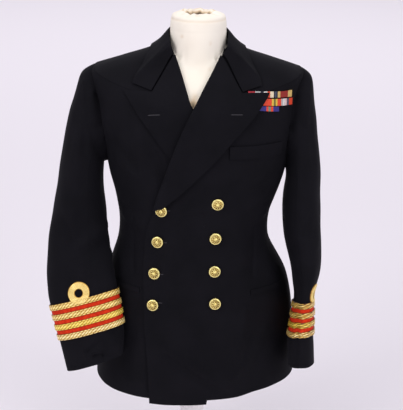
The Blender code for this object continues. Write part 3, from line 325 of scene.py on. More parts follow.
def grid_mesh(name, rows, wrap_columns=False, wrap_rows=False):
    """A mesh from a grid of points, an array of rows by columns by three."""
    count_rows, count_columns = rows.shape[:2]
    index = np.arange(count_rows * count_columns).reshape(count_rows, count_columns)
    last_row = count_rows if wrap_rows else count_rows - 1
    last_column = count_columns if wrap_columns else count_columns - 1
    faces = []
    for j in range(last_row):
        below = index[(j + 1) % count_rows]
        for i in range(last_column):
            k = (i + 1) % count_columns
            faces.append((index[j][i], index[j][k], below[k], below[i]))
    mesh = bpy.data.meshes.new(name)
    mesh.from_pydata(rows.reshape(-1, 3).tolist(), [], [tuple(int(v) for v in face) for face in faces])
    mesh.update()
    return mesh


def faces_out(mesh, fill=False):
    """Turn a closed mesh's faces outwards, after filling its holes where asked."""
    build = bmesh.new()
    build.from_mesh(mesh)
    if fill:
        bmesh.ops.holes_fill(build, edges=build.edges)
    bmesh.ops.recalc_face_normals(build, faces=build.faces)
    build.to_mesh(mesh)
    build.free()


def fill_rings(mesh, turns, first=True):
    """Fill the last ring of a turned mesh's points, and its first ring too unless that stays open."""
    build = bmesh.new()
    build.from_mesh(mesh)
    build.verts.ensure_lookup_table()
    count = len(build.verts)
    if first:
        build.faces.new([build.verts[i] for i in range(turns)])
    build.faces.new([build.verts[count - turns + i] for i in range(turns)])
    build.to_mesh(mesh)
    build.free()


def quads_of(node):
    """A node's walls as welded quads, with full creases on the rims."""
    build = bmesh.new()
    build.from_mesh(NODES[node].data)
    bmesh.ops.remove_doubles(build, verts=build.verts, dist=WELD)
    bmesh.ops.join_triangles(build, faces=build.faces, angle_face_threshold=math.radians(40),
                             angle_shape_threshold=math.radians(180))
    crease = build.edges.layers.float.new("crease_edge")
    for edge in build.edges:
        if edge.calc_face_angle(0.0) > RIM_ANGLE:
            edge[crease] = 1.0
    mesh = bpy.data.meshes.new(node + "_shell")
    build.to_mesh(mesh)
    build.free()
    return mesh


def smooth_shell(node, levels=PLAIN_LEVEL, rounds=2):
    """A subdivided copy of a node that still goes through the node's points."""
    item = linked(node + "_shell", quads_of(node))
    wanted = mesh_points(item.data)
    control = wanted.copy()
    smoother = item.modifiers.new("smooth", "SUBSURF")
    smoother.levels = levels
    smoother.render_levels = levels
    for _ in range(rounds):
        evaluated = item.evaluated_get(bpy.context.evaluated_depsgraph_get())
        reached = mesh_points(evaluated.data)[:len(wanted)]
        control += wanted - reached
        put_points(item.data, control)
    return applied(item)


SHELL_LEVELS = {
    "front_left": FINE_LEVEL, "front_right": FINE_LEVEL, "lapel_left": FINE_LEVEL, "lapel_right": FINE_LEVEL,
    "top_sleeve_left": FINE_LEVEL, "top_sleeve_right": FINE_LEVEL, "collar": FINE_LEVEL,
    "back_left": PLAIN_LEVEL, "back_right": PLAIN_LEVEL, "side_left": PLAIN_LEVEL,
    "side_right": PLAIN_LEVEL, "under_sleeve_left": PLAIN_LEVEL, "under_sleeve_right": PLAIN_LEVEL,
    "breast_welt": FINE_LEVEL, "hip_pocket_left": FINE_LEVEL, "hip_pocket_right": FINE_LEVEL,
}
SEAMS = (
    ("back_left", "back_right"), ("back_left", "side_left"), ("side_left", "front_left"),
    ("front_left", "back_left"), ("back_right", "side_right"), ("side_right", "front_right"),
    ("front_right", "back_right"), ("top_sleeve_left", "under_sleeve_left"),
    ("top_sleeve_right", "under_sleeve_right"),
)
ARMHOLE_SEAMS = tuple((f"{sleeve}_sleeve_{side}", f"{panel}_{side}")
                      for side in ("left", "right") for sleeve in ("top", "under")
                      for panel in ("front", "back", "side"))
# A record for the cut of a cloth piece before it was sewn and hung: width, length and flat area, how it is
# held now, and what it lies on or hangs from. No piece's cut is filled in.
Cut = namedtuple("Cut", "piece width length area held rests_on")


def close_seam(first, second, reach):
    """Draw two pieces together where they lie within reach, so that no light comes through the seam."""
    graph = bpy.context.evaluated_depsgraph_get()
    trees = [BVHTree.FromObject(item, graph) for item in (second, first)]
    clouds = [mesh_points(item.data) for item in (first, second)]
    for item, own, other, tree in zip((first, second), clouds, clouds[::-1], trees):
        low = other.min(axis=0) - reach
        high = other.max(axis=0) + reach
        moved = own.copy()
        for index in np.nonzero(np.all((own >= low) & (own <= high), axis=1))[0]:
            place, _, _, distance = tree.find_nearest(Vector(own[index]), reach)
            if place is not None:
                step = (distance / 2 + SEAM_OVERLAP) * float(ease(2 * (reach - distance) / reach))
                moved[index] = own[index] + (np.array(place) - own[index]) * step / max(distance, WELD)
        put_points(item.data, moved)


# Materials

def new_material(name):
    """A node material, its tree and its shader."""
    material = bpy.data.materials.new(name)
    material.use_nodes = True
    tree = material.node_tree
    shader = tree.nodes["Principled BSDF"]
    return material, tree, shader


def node(tree, kind, **values):
    """Add a node and set its inputs by name, or its own properties."""
    made = tree.nodes.new(kind)
    for key, value in values.items():
        if key in made.inputs:
            made.inputs[key].default_value = value
        else:
            setattr(made, key, value)
    return made


def wire(tree, source, output, target, name):
    """Link an output to an input, both by name."""
    tree.links.new(source.outputs[output], target.inputs[name])


def ramp(tree, stops, constant=False):
    """A colour ramp from positions and colours."""
    made = tree.nodes.new("ShaderNodeValToRGB")
    made.color_ramp.interpolation = "CONSTANT" if constant else "LINEAR"
    while len(made.color_ramp.elements) < len(stops):
        made.color_ramp.elements.new(1.0)
    for element, (position, colour) in zip(made.color_ramp.elements, stops):
        element.position = position
        element.color = (*colour, 1.0)
    return made


def settings(shader, **values):
    """Set a shader's own sockets, with names written with underscores."""
    for key, value in values.items():
        shader.inputs[key.replace("_", " ")].default_value = value


def texture(tree, kind, **values):
    """Add a texture node that follows the object's own coordinates."""
    made = node(tree, "ShaderNodeTex" + kind, **values)
    wire(tree, node(tree, "ShaderNodeTexCoord"), "Object", made, "Vector")
    return made


def tone_noise(tree, scale, low, high, detail=3.0):
    """A colour that drifts between two tones over the surface."""
    noise = texture(tree, "Noise", Scale=scale, Detail=detail)
    tones = ramp(tree, ((0.35, low), (0.65, high)))
    wire(tree, noise, "Fac", tones, "Fac")
    return tones


def add_bump(tree, shader, *layers):
    """Bumps one over another: each layer is a height node, its output, a strength and a distance."""
    before = None
    for source, output, strength, distance in layers:
        bump = node(tree, "ShaderNodeBump", Strength=strength, Distance=distance)
        wire(tree, source, output, bump, "Height")
        if before is not None:
            wire(tree, before, "Normal", bump, "Normal")
        before = bump
    wire(tree, before, "Normal", shader, "Normal")


def wool_material(name="navy_wool", low=(0.0028, 0.0026, 0.0044), high=(0.0044, 0.0040, 0.0064)):
    """Near-black navy wool: a fine twill under a brushed nap."""
    material, tree, shader = new_material(name)
    settings(shader, Roughness=0.86, Specular_IOR_Level=0.12, Sheen_Weight=0.012, Sheen_Roughness=0.5,
             Sheen_Tint=(0.66, 0.64, 0.80, 1.0))
    tones = tone_noise(tree, 16.0, low, high)
    wire(tree, tones, "Color", shader, "Base Color")
    twill = texture(tree, "Wave", Scale=430.0, Distortion=1.4, bands_direction="DIAGONAL")
    nap = texture(tree, "Noise", Scale=1300.0, Detail=2.0)
    felt = texture(tree, "Noise", Scale=180.0, Detail=3.0)
    add_bump(tree, shader, (felt, "Fac", 0.25, 0.0005), (twill, "Fac", 0.22, 0.00018),
             (nap, "Fac", 0.40, 0.00022))
    return material


def lace_material(name, dark, mid, bright):
    """Gold lace, whose colour follows the painted shade and highlights of its strands, stored on its points.
    """
    material, tree, shader = new_material(name)
    settings(shader, Roughness=0.40, Metallic=0.2, Specular_IOR_Level=0.6)
    strand_shade = node(tree, "ShaderNodeAttribute", attribute_name="strand_shade")
    speckle = texture(tree, "Noise", Scale=620.0, Detail=4.0, Roughness=0.7)
    patch = texture(tree, "Noise", Scale=70.0, Detail=2.0)
    together = node(tree, "ShaderNodeMath", operation="MULTIPLY_ADD")
    together.inputs[1].default_value = 0.38
    wire(tree, speckle, "Fac", together, "Value")
    tree.links.new(strand_shade.outputs["Fac"], together.inputs[2])
    more = node(tree, "ShaderNodeMath", operation="MULTIPLY_ADD")
    more.inputs[1].default_value = 0.22
    wire(tree, patch, "Fac", more, "Value")
    tree.links.new(together.outputs[0], more.inputs[2])
    # Dark is painted shade and bright is painted highlight
    tones = ramp(tree, ((0.38, dark), (0.66, mid), (0.92, bright)))
    wire(tree, more, "Value", tones, "Fac")
    wire(tree, tones, "Color", shader, "Base Color")
    add_bump(tree, shader, (speckle, "Fac", 0.5, 0.0003))
    return material


def plain_material(name, colour, roughness, bump_scale=0.0, bump=0.0, **values):
    """One colour with a fine grain."""
    material, tree, shader = new_material(name)
    settings(shader, Base_Color=(*colour, 1.0), Roughness=roughness, **values)
    if bump_scale:
        grain = texture(tree, "Noise", Scale=bump_scale, Detail=3.0)
        add_bump(tree, shader, (grain, "Fac", bump, 0.0003))
    return material


def red_material():
    """The orange-red cloth between the rows of lace."""
    material, tree, shader = new_material("red_cloth")
    settings(shader, Roughness=0.85, Specular_IOR_Level=0.2)
    tones = tone_noise(tree, 160.0, (0.52, 0.020, 0.003), (0.72, 0.036, 0.006))
    wire(tree, tones, "Color", shader, "Base Color")
    felt = texture(tree, "Noise", Scale=900.0, Detail=3.0)
    add_bump(tree, shader, (felt, "Fac", 0.5, 0.0003))
    return material


def gilt_material():
    """Worn gilt, with painted shade in its recesses and painted highlights, stored on the points."""
    material, tree, shader = new_material("gilt")
    settings(shader, Metallic=0.65, Roughness=0.24)
    gilt_shade = node(tree, "ShaderNodeAttribute", attribute_name="gilt_shade")
    # From painted shade through gilt to painted highlight
    tones = ramp(tree, ((0.08, (0.035, 0.02, 0.006)), (0.42, (0.46, 0.30, 0.05)), (0.80, (1.0, 0.86, 0.34))))
    wire(tree, gilt_shade, "Fac", tones, "Fac")
    wire(tree, tones, "Color", shader, "Base Color")
    wear = texture(tree, "Noise", Scale=500.0, Detail=3.0)
    add_bump(tree, shader, (wear, "Fac", 0.35, 0.0002))
    return material


def stripe_material(name, stripes):
    """Ribbon: sharp stripes by the distance along the row, with a fine cross rib."""
    material, tree, shader = new_material(name)
    settings(shader, Roughness=0.62, Specular_IOR_Level=0.35)
    along = node(tree, "ShaderNodeAttribute", attribute_name="along")
    tones = ramp(tree, stripes, constant=True)
    wire(tree, along, "Fac", tones, "Fac")
    wire(tree, tones, "Color", shader, "Base Color")
    rib = texture(tree, "Wave", Scale=380.0, Distortion=0.3, bands_direction="Z")
    add_bump(tree, shader, (rib, "Fac", 0.35, 0.0002))
    return material


def form_material():
    """The form's cream calico, with faint spots and painted shade, darkest in the hole of the gathered top.
    """
    material, tree, shader = new_material("form_cloth")
    settings(shader, Roughness=0.9, Specular_IOR_Level=0.15)
    tones = tone_noise(tree, 9.0, (0.90, 0.83, 0.72), (0.95, 0.89, 0.79), 2.0)
    shade = node(tree, "ShaderNodeAttribute", attribute_name="shade")
    mix = node(tree, "ShaderNodeMixRGB", blend_type="MULTIPLY")
    mix.inputs[0].default_value = 1.0
    # The shade attribute paints shade, from no change through brown to near black
    tint = ramp(tree, ((0.0, (1.0, 1.0, 1.0)), (0.35, (0.80, 0.66, 0.50)), (1.0, (0.05, 0.032, 0.022))))
    wire(tree, shade, "Fac", tint, "Fac")
    tree.links.new(tones.outputs["Color"], mix.inputs[1])
    tree.links.new(tint.outputs["Color"], mix.inputs[2])
    tree.links.new(mix.outputs[0], shader.inputs["Base Color"])
    weave = texture(tree, "Noise", Scale=700.0, Detail=3.0)
    add_bump(tree, shader, (weave, "Fac", 0.25, 0.0003))
    return material


WOOL = wool_material()
RED = red_material()
GILT = gilt_material()
FORM = form_material()
STAND = plain_material("stand_paint", (0.95, 0.91, 0.92), 0.45, 240.0, 0.12)
THREAD = plain_material("worn_thread", (0.022, 0.020, 0.025), 0.8, 1400.0, 0.5)
# Each lace's colours run from painted shade (dark) through gold (mid) to painted highlight (bright)
GOLD_SHADED, GOLD_MID, GOLD_HIGHLIGHT = (0.10, 0.030, 0.003), (0.72, 0.41, 0.055), (1.0, 0.84, 0.33)
GOLD = lace_material("gold_lace", GOLD_SHADED, GOLD_MID, GOLD_HIGHLIGHT)
GOLD_YELLOW = lace_material("gold_lace_yellow", (0.10, 0.032, 0.003), (0.78, 0.48, 0.03), (1.0, 0.84, 0.20))
GOLD_PALE = lace_material("gold_lace_pale", (0.10, 0.034, 0.005), (0.74, 0.46, 0.09), (1.0, 0.88, 0.46))


def dress(item, material, slot, *nodes):
    """Give a piece its material and tie it to the frame."""
    item.data.materials.clear()
    item.data.materials.append(material)
    item.data.shade_smooth()
    item.data.set_sharp_from_angle(angle=math.radians(38))
    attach(item, "root")
    if nodes:
        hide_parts(*nodes)
    return item


def cloth_shells():
    """The shells of every wool piece, with folds added and then seams closed."""
    shells = {name: smooth_shell(name, levels) for name, levels in SHELL_LEVELS.items()}
    for name, item in shells.items():
        points = mesh_points(item.data)
        if "sleeve" in name:
            points = LIMBS[name.rsplit("_", 1)[1]].moved(points)
        else:
            points = body_moved(points)
        put_points(item.data, points)
    for first, second in SEAMS:
        close_seam(shells[first], shells[second], SEAM_REACH)
    for first, second in ARMHOLE_SEAMS:
        close_seam(shells[first], shells[second], ARMHOLE_REACH)
    for name, item in shells.items():
        dress(item, WOOL, "navy_wool", name)
    return shells


# Rings round the wrist, read from a band's solid

def ring_lines(name):
    """A band's outer upper and lower rings as smooth closed lines of LACE_COLUMNS points each."""
    build = bmesh.new()
    build.from_mesh(NODES[name].data)
    bmesh.ops.remove_doubles(build, verts=build.verts, dist=WELD)
    cloud = np.array([point.co[:] for point in build.verts])
    build.free()
    middle = cloud.mean(axis=0)
    limb = LIMBS["left" if name.endswith("left") else "right"]
    low_high = np.array(((0.0, 0.0, middle[2] - 0.03), (0.0, 0.0, middle[2] + 0.03)))
    across, along = limb.middle(low_high)
    axis = unit(np.array((across[1] - across[0], along[1] - along[0], 0.06)))
    rest = cloud - middle
    level = rest @ axis
    first = unit(np.cross(axis, (0.0, 1.0, 0.0)))
    second = np.cross(axis, first)
    angle = np.arctan2(rest @ second, rest @ first)
    away = np.hypot(rest @ second, rest @ first)
    columns = len(cloud) // 4
    order = np.argsort(angle)
    rings = [[], []]
    for i in range(columns):
        group = order[4 * i:4 * i + 4]
        upper = group[np.argsort(level[group])[2:]]
        lower = group[np.argsort(level[group])[:2]]
        for ring, pair in zip(rings, (upper, lower)):
            ring.append(cloud[pair[np.argmax(away[pair])]])
    return [closed_line(np.array(ring), LACE_COLUMNS) for ring in rings]


def closed_line(points, count):
    """A smooth closed line through points, with even steps."""
    before, after, last = np.roll(points, 1, 0), np.roll(points, -1, 0), np.roll(points, -2, 0)
    fine = []
    for share in np.arange(16) / 16:
        fine.append(0.5 * (2 * points + (after - before) * share
                           + (2 * before - 5 * points + 4 * after - last) * share ** 2
                           + (3 * points - before - 3 * after + last) * share ** 3))
    line = np.stack(fine, axis=1).reshape(-1, 3)
    line = np.vstack([line, line[:1]])
    step = np.r_[0.0, np.cumsum(np.linalg.norm(np.diff(line, axis=0), axis=1))]
    wanted = np.linspace(0.0, step[-1], count, endpoint=False)
    return np.stack([np.interp(wanted, step, line[:, k]) for k in range(3)], axis=1)


def band_out(upper, lower):
    """The direction out of a band at each column."""
    middle = (upper + lower) / 2
    run = np.roll(middle, -1, 0) - np.roll(middle, 1, 0)
    out = np.cross(run, upper - lower)
    centre = middle.mean(axis=0)
    if np.sum(out * (middle - centre)) < 0:
        out = -out
    return unit(out)


def sleeve_shift(side, points):
    """How far the sleeve's own folds move these points, so that the lace follows them."""
    return LIMBS[side].moved(points) - points


def band_mesh(name, side, upper, lower, lines, lift, values=None):
    """A closed band: the outer face from a lift table, the inner face flat, rims between."""
    out = band_out(upper, lower)
    shares = np.linspace(0.0, 1.0, lines)
    outer = upper[None] * (1 - shares[:, None, None]) + lower[None] * shares[:, None, None]
    inner = outer - out[None] * LACE_BODY
    outer = outer + out[None] * lift[:, :, None]
    rows = np.concatenate([outer, inner[::-1]], axis=0)
    flat = rows.reshape(-1, 3)
    flat = flat + sleeve_shift(side, flat)
    mesh = grid_mesh(name, flat.reshape(rows.shape), wrap_columns=True, wrap_rows=True)
    if values is not None:
        # The outer face keeps the weave's painted shading; the inner face gets painted shade
        both = np.concatenate([values, np.full_like(values, LACE_UNDERSIDE_SHADE)], axis=0)
        put_values(mesh, "strand_shade", both.ravel())
    faces_out(mesh)
    return linked(name, mesh)


def lace_relief(side, row, upper):
    """Heights and painted shading of one row of lace, on its grid of lines by columns."""
    front = int(np.argmin(upper[:, 1]))
    rightwards = upper[(front + 3) % LACE_COLUMNS, 0] > upper[front - 3, 0]
    shares = np.linspace(0.0, 1.0, LACE_LINES)[:, None]
    turn = np.linspace(0.0, 1.0, LACE_COLUMNS, endpoint=False)[None]
    slant = LACE_SLANT if rightwards else -LACE_SLANT
    uneven = 0.12 * np.sin(2 * math.pi * 5 * turn + row) + 0.08 * np.sin(2 * math.pi * 11 * turn + 2 * row)
    strands_round = LACE_STRANDS[side]
    wave = 0.5 + 0.5 * np.cos(2 * math.pi * (strands_round * turn + slant * (shares - 0.5) + uneven))
    strand_shade = 1 - wave ** 4
    fine = 0.5 + 0.5 * np.cos(2 * math.pi * (3 * strands_round * turn - 2.2 * slant * (shares - 0.5)))
    inside = ease(np.minimum(shares, 1 - shares) / 0.10)
    cords = hump(shares, 0.13, 0.055) + hump(shares, 0.87, 0.055)
    between = 1 - 0.8 * (hump(shares, 0.24, 0.05) + hump(shares, 0.76, 0.05))
    strands = strand_shade * (0.35 + 0.65 * ease((0.5 - np.abs(shares - 0.5)) / 0.16))
    ripple = np.sin(2 * math.pi * 9 * turn + 1.7 * row) * np.sin(2 * math.pi * 4 * turn + 0.4)
    lift = LACE_RISE * inside + STRAND_DEPTH * strands + CORD_RISE * cords - LACE_EDGE_DROP * (1 - inside)
    lift = lift + LACE_RIPPLE[side] * ripple
    # Painted shade between the strands, in the grooves beside the cords and at the dropped edges; painted
    # highlights on the strands and cords
    painted_shading = (0.04 + 0.56 * strands + 0.10 * fine) * between + 0.16 * cords * (0.4 + 0.6 * fine)
    painted_shading = painted_shading - 0.5 * (1 - inside)
    # On the left cuff, painted shade and light of crumples that the relief does not have
    if side == "left":
        crumple = np.sin(2 * math.pi * (3.2 * shares + 1.3 * np.sin(2 * math.pi * 4 * turn + row)))
        painted_shading = painted_shading * (0.72 + 0.28 * crumple) + 0.06 * crumple
    return lift * np.ones_like(turn), np.clip(painted_shading, 0.0, 1.0) * np.ones_like(turn)


def cuffs():
    """Rows of lace, the red cloth between them, and the curls."""
    materials = {1: GOLD, 2: GOLD, 3: GOLD_YELLOW, 4: GOLD_PALE}
    for side in ("left", "right"):
        edges = {}
        for row in range(1, 5):
            name = f"lace_{row}_{side}"
            upper, lower = ring_lines(name)
            lower = matched(upper, lower)
            edges[row] = (upper, lower)
            lift, painted_shading = lace_relief(side, row, upper)
            item = band_mesh(name + "_woven", side, upper, lower, LACE_LINES, lift, painted_shading)
            dress(item, materials[row], "gold_lace", name)
        top = edges[1][0]
        bottom = matched(top, edges[4][1])
        under = band_out(top, bottom) * CLOTH_BELOW_LACE
        high = top * (1 - CLOTH_INSET) + bottom * CLOTH_INSET - under
        low = top * CLOTH_INSET + bottom * (1 - CLOTH_INSET) - under
        level = np.zeros((CLOTH_LINES, LACE_COLUMNS))
        item = band_mesh(f"cuff_band_{side}", side, high, low, CLOTH_LINES, level)
        dress(item, RED, "red_cloth", f"cuff_cloth_{side}")
        curl(side, edges[1])


def matched(upper, lower):
    """The lower ring turned so that each point lies below the upper ring's point."""
    start = int(np.argmin(np.linalg.norm(lower - upper[0], axis=1)))
    turned = np.roll(lower, -start, axis=0)
    ahead = np.linalg.norm(turned[8] - upper[8])
    behind = np.linalg.norm(turned[-8] - upper[8])
    if behind < ahead:
        turned = np.roll(turned[::-1], 1, axis=0)
    return turned


def curl(side, top_row):
    """The ring of lace that stands on the top row, laid on the sleeve."""
    name = f"curl_{side}"
    target = mesh_points(NODES[name].data)
    middle = (target.max(axis=0) + target.min(axis=0)) / 2
    upper, lower = top_row
    out = band_out(upper, lower)
    nearest = int(np.argmin(np.linalg.norm(upper - middle, axis=1)))
    steps = np.linalg.norm(np.roll(upper, -1, 0) - upper, axis=1).mean()
    rises = unit(upper - lower)
    rows = []
    tones = []
    tree = BVHTree.FromObject(SHELLS[f"top_sleeve_{side}"], bpy.context.evaluated_depsgraph_get())
    for share in np.linspace(0.0, 1.0, CURL_RINGS):
        radius = CURL_HOLE + (CURL_RADIUS - CURL_HOLE) * share
        thread = 0.5 + 0.5 * math.cos(2 * math.pi * CURL_THREADS * share)
        edge = float(ease(min(share, 1 - share) / 0.07))
        line = []
        shading_line = []
        for k in range(CURL_TURNS):
            turn = 2 * math.pi * k / CURL_TURNS
            along = radius * math.cos(turn)
            rise = radius * math.sin(turn) + CURL_RISE
            spot = nearest + along / steps
            low = int(math.floor(spot))
            part = spot - low
            base = upper[low % LACE_COLUMNS] * (1 - part) + upper[(low + 1) % LACE_COLUMNS] * part
            place = base + rises[low % LACE_COLUMNS] * rise
            place = place + sleeve_shift(side, place[None])[0]
            direction = out[low % LACE_COLUMNS]
            hit = tree.ray_cast(Vector(place + direction * CURL_PROBE), Vector(-direction), 2 * CURL_PROBE)[0]
            if hit is None:
                hit = tree.find_nearest(Vector(place))[0]
            over = float(ease((0.004 - rise) / 0.004))
            twist = 0.5 + 0.5 * math.cos(turn * CURL_TWISTS + 9 * share)
            lift = CURL_LIFT + (CURL_OVER_LACE - CURL_LIFT) * over
            lift += CURL_THREAD_RISE * thread - CURL_EDGE_DROP * (1 - edge)
            line.append(np.array(hit) + direction * lift)
            # Painted shading: lighter on the threads and twists, painted shade at the dropped edges
            shading_line.append(max(0.0, 0.24 + 0.36 * thread + 0.16 * twist - 0.5 * (1 - edge)))
        rows.append(line)
        tones.append(shading_line)
    rows = np.array(rows)
    under = rows - out[nearest] * CURL_BODY
    both = np.concatenate([rows, under[::-1]], axis=0)
    mesh = grid_mesh(name + "_woven", both, wrap_columns=True, wrap_rows=True)
    # The curl's underside gets painted shade
    both_shading = np.concatenate([np.array(tones), np.full((CURL_RINGS, CURL_TURNS), LACE_UNDERSIDE_SHADE)], axis=0)
    put_values(mesh, "strand_shade", both_shading.ravel())
    faces_out(mesh)
    dress(linked(name + "_woven", mesh), GOLD, "gold_lace", name)


# Buttons

def button_relief(radius, turn):
    """Height of a button's dome, and its painted shade and highlights."""
    share = radius / BUTTON_RADIUS
    dome = DOME_RISE * np.sqrt(np.clip(1 - (share * 0.93) ** 2, 0, 1))
    twists = 0.00038 + 0.00022 * np.cos(ROPE_TWISTS * turn + ROPE_SLANT * radius)
    rope = hump(radius, ROPE_RADIUS, ROPE_WIDTH) * twists
    rim = RIM_RISE * hump(share, 0.965, 0.035)
    reach = STAR_REACH * (0.62 + 0.38 * np.abs(np.cos(STAR_POINTS / 2 * turn)) ** 3)
    star = ease((reach - radius) / 0.0010)
    rays = 0.5 + 0.5 * np.cos(STAR_POINTS * turn)
    boss = ease((BOSS_RADIUS - radius) / 0.0006)
    low = 0.5 - 0.5 * np.sin(turn)
    leaf = np.cos(LEAF_COUNT * turn + LEAF_SLANT * radius)
    leaves = hump(radius, LEAF_RADIUS, 0.0010) * low * (0.4 + 0.6 * leaf)
    height = dome + rope + rim + star * (STAR_RISE + RAY_RISE * rays) + BOSS_RISE * boss + LEAF_RISE * leaves
    # Painted shade between the leaves on the lower half, between the star's rays above and in a ring inside
    # the rope; painted highlights on the rim and the boss
    gaps = 0.5 - 0.5 * leaf
    painted_shading = 0.74 - 0.95 * low * gaps * hump(radius, 0.0056, 0.0026)
    painted_shading = painted_shading - 0.65 * (1 - low) * (1 - rays) * hump(radius, 0.0050, 0.0016)
    painted_shading = painted_shading + 0.3 * hump(share, 0.975, 0.04) + 0.3 * boss - 0.55 * hump(radius, 0.0083, 0.0005)
    return height, np.clip(painted_shading, 0.0, 1.0)


def buttons():
    """The relief faces of the eight buttons, on the axes of their solids."""
    radii = np.linspace(0.0003, BUTTON_RADIUS, BUTTON_RINGS)
    turns = np.linspace(0, 2 * math.pi, BUTTON_TURNS, endpoint=False)
    radius, turn = np.meshgrid(radii, turns, indexing="ij")
    for side in ("left", "right"):
        for number in range(1, 5):
            name = f"button_{side}_{number}"
            source = mesh_points(NODES[name].data)
            middle = (source.max(axis=0) + source.min(axis=0)) / 2
            _, _, axes = np.linalg.svd(source - source.mean(axis=0), full_matrices=False)
            axis = axes[2] if axes[2][1] < 0 else -axes[2]
            levels = (source - middle) @ axis
            across = unit(np.cross((0.0, 0.0, 1.0), axis))
            above = np.cross(axis, across)
            centre = middle + axis * (levels.max() - BUTTON_FACE_DROP)
            spin = 0.25 * number + (0.1 if side == "left" else 0.0)
            height, painted_shading = button_relief(radius, turn)
            front = (centre + across * (radius * np.cos(turn + spin))[..., None]
                     + above * (radius * np.sin(turn + spin))[..., None] + axis * height[..., None])
            back_levels = np.array((-0.0011, -0.0020, -0.0022))
            back_radii = np.array((BUTTON_RADIUS, BUTTON_RADIUS * 0.9, 0.0004))
            back = (centre + across * (back_radii[:, None] * np.cos(turns + spin))[..., None]
                    + above * (back_radii[:, None] * np.sin(turns + spin))[..., None]
                    + axis * back_levels[:, None, None])
            rows = np.concatenate([front, back], axis=0)
            mesh = grid_mesh(name + "_face", rows, wrap_columns=True)
            fill_rings(mesh, BUTTON_TURNS)
            # The back gets painted shade
            back_shade = np.full((len(back_levels), BUTTON_TURNS), BUTTON_BACK_SHADE)
            put_values(mesh, "gilt_shade", np.concatenate([painted_shading, back_shade], axis=0).ravel())
            faces_out(mesh)
            dress(linked(name + "_face", mesh), GILT, "gilt", name)


# Medal ribbons: where each stripe starts along the row, in metres across, and its colour
Stripe = namedtuple("Stripe", "across colour")
CRIMSON = (0.33, 0.012, 0.025)
SCARLET = (0.68, 0.055, 0.018)
BRICK = (0.27, 0.018, 0.012)
WHITE = (0.72, 0.70, 0.66)
ASH = (0.42, 0.41, 0.41)
NIGHT = (0.015, 0.02, 0.035)
SLATE = (0.055, 0.07, 0.11)
CREAM = (0.70, 0.60, 0.42)
BRASS = (0.58, 0.40, 0.13)
SUN = (0.66, 0.44, 0.05)
OLIVE = (0.16, 0.14, 0.03)
ROSE = (0.58, 0.36, 0.36)
VIOLET = (0.030, 0.022, 0.19)
MOSS = (0.17, 0.20, 0.15)
RIBBONS = {
    "ribbon_1": (
        Stripe(0.0800, CRIMSON), Stripe(0.1105, ASH), Stripe(0.1207, NIGHT), Stripe(0.1265, WHITE),
        Stripe(0.1333, SCARLET), Stripe(0.1391, CREAM), Stripe(0.1459, NIGHT), Stripe(0.1488, SLATE),
        Stripe(0.1511, NIGHT), Stripe(0.1542, BRASS), Stripe(0.1593, BRICK), Stripe(0.1746, BRASS),
    ),
    "ribbon_2": (
        Stripe(0.0800, SCARLET), Stripe(0.1427, SUN), Stripe(0.1466, OLIVE), Stripe(0.1502, SUN),
        Stripe(0.1535, SCARLET), Stripe(0.1614, ASH), Stripe(0.1654, WHITE), Stripe(0.1684, ROSE),
        Stripe(0.1700, WHITE), Stripe(0.1714, ROSE), Stripe(0.1730, SLATE), Stripe(0.1773, SCARLET),
    ),
    "ribbon_3": (
        Stripe(0.1100, VIOLET), Stripe(0.1320, SCARLET), Stripe(0.1359, MOSS), Stripe(0.1408, SCARLET),
        Stripe(0.1457, VIOLET),
    ),
}
RIBBON_START = 0.08
RIBBON_REACH = 0.11


def ribbons():
    """The three rows of ribbon in their own stripes."""
    for name, stripes in RIBBONS.items():
        item = smooth_shell(name, PLAIN_LEVEL)
        points = mesh_points(item.data)
        put_points(item.data, body_moved(points) + np.array((0.0, -0.0003, 0.0)))
        put_values(item.data, "along", (points[:, 0] - RIBBON_START) / RIBBON_REACH)
        stops = [((stripe.across - RIBBON_START) / RIBBON_REACH, stripe.colour) for stripe in stripes]
        dress(item, stripe_material(name + "_silk", stops), "ribbon", name)


# Sewn details on the front, each along a line seen from the front
Stitch = namedtuple("Stitch", "name start_across start_height end_across end_height width")
STITCHES = (
    Stitch("lapel_hole_right", -0.0923, 0.8154, -0.0690, 0.8173, 0.0020),
    Stitch("lapel_hole_left", 0.0649, 0.8206, 0.0876, 0.8199, 0.0020),
    Stitch("front_hole_1", -0.0560, 0.6250, -0.0480, 0.6254, 0.0018),
    Stitch("front_hole_2", -0.0628, 0.5585, -0.0540, 0.5590, 0.0018),
    Stitch("front_hole_3", -0.0688, 0.4930, -0.0600, 0.4936, 0.0018),
    Stitch("front_hole_4", -0.0712, 0.4335, -0.0618, 0.4338, 0.0018),
    Stitch("loose_thread_1", -0.1094, 0.5419, -0.1075, 0.5360, 0.0007),
    Stitch("loose_thread_2", 0.0191, 0.5982, 0.0178, 0.5940, 0.0007),
)
STITCH_POINTS = 29
STITCH_SIDES = 10
STITCH_CLEAR = 0.0001
STITCH_DEPTH = 0.00035


def stitches():
    """Worn buttonholes and two loose threads, laid on whatever cloth lies foremost there."""
    graph = bpy.context.evaluated_depsgraph_get()
    trees = [BVHTree.FromObject(SHELLS[name], graph)
             for name in ("front_left", "front_right", "lapel_left", "lapel_right")]
    for stitch in STITCHES:
        rows = []
        for share in np.linspace(0, 1, STITCH_POINTS):
            across = stitch.start_across * (1 - share) + stitch.end_across * share
            height = stitch.start_height * (1 - share) + stitch.end_height * share
            before = Vector((across, -0.4, height))
            hits = [tree.ray_cast(before, Vector((0, 1, 0)), 0.5)[0] for tree in trees]
            foremost = min(hit.y for hit in hits if hit is not None)
            half = stitch.width / 2 * (0.35 + 0.65 * float(ease(min(share, 1 - share) / 0.06)))
            ring = []
            for turn in np.linspace(0, 2 * math.pi, STITCH_SIDES, endpoint=False):
                ahead = foremost - STITCH_CLEAR - STITCH_DEPTH * math.sin(turn)
                ring.append((across, ahead, height + half * math.cos(turn)))
            rows.append(ring)
        mesh = grid_mesh(stitch.name, np.array(rows), wrap_columns=True)
        faces_out(mesh, fill=True)
        dress(linked(stitch.name, mesh), THREAD, "navy_wool")


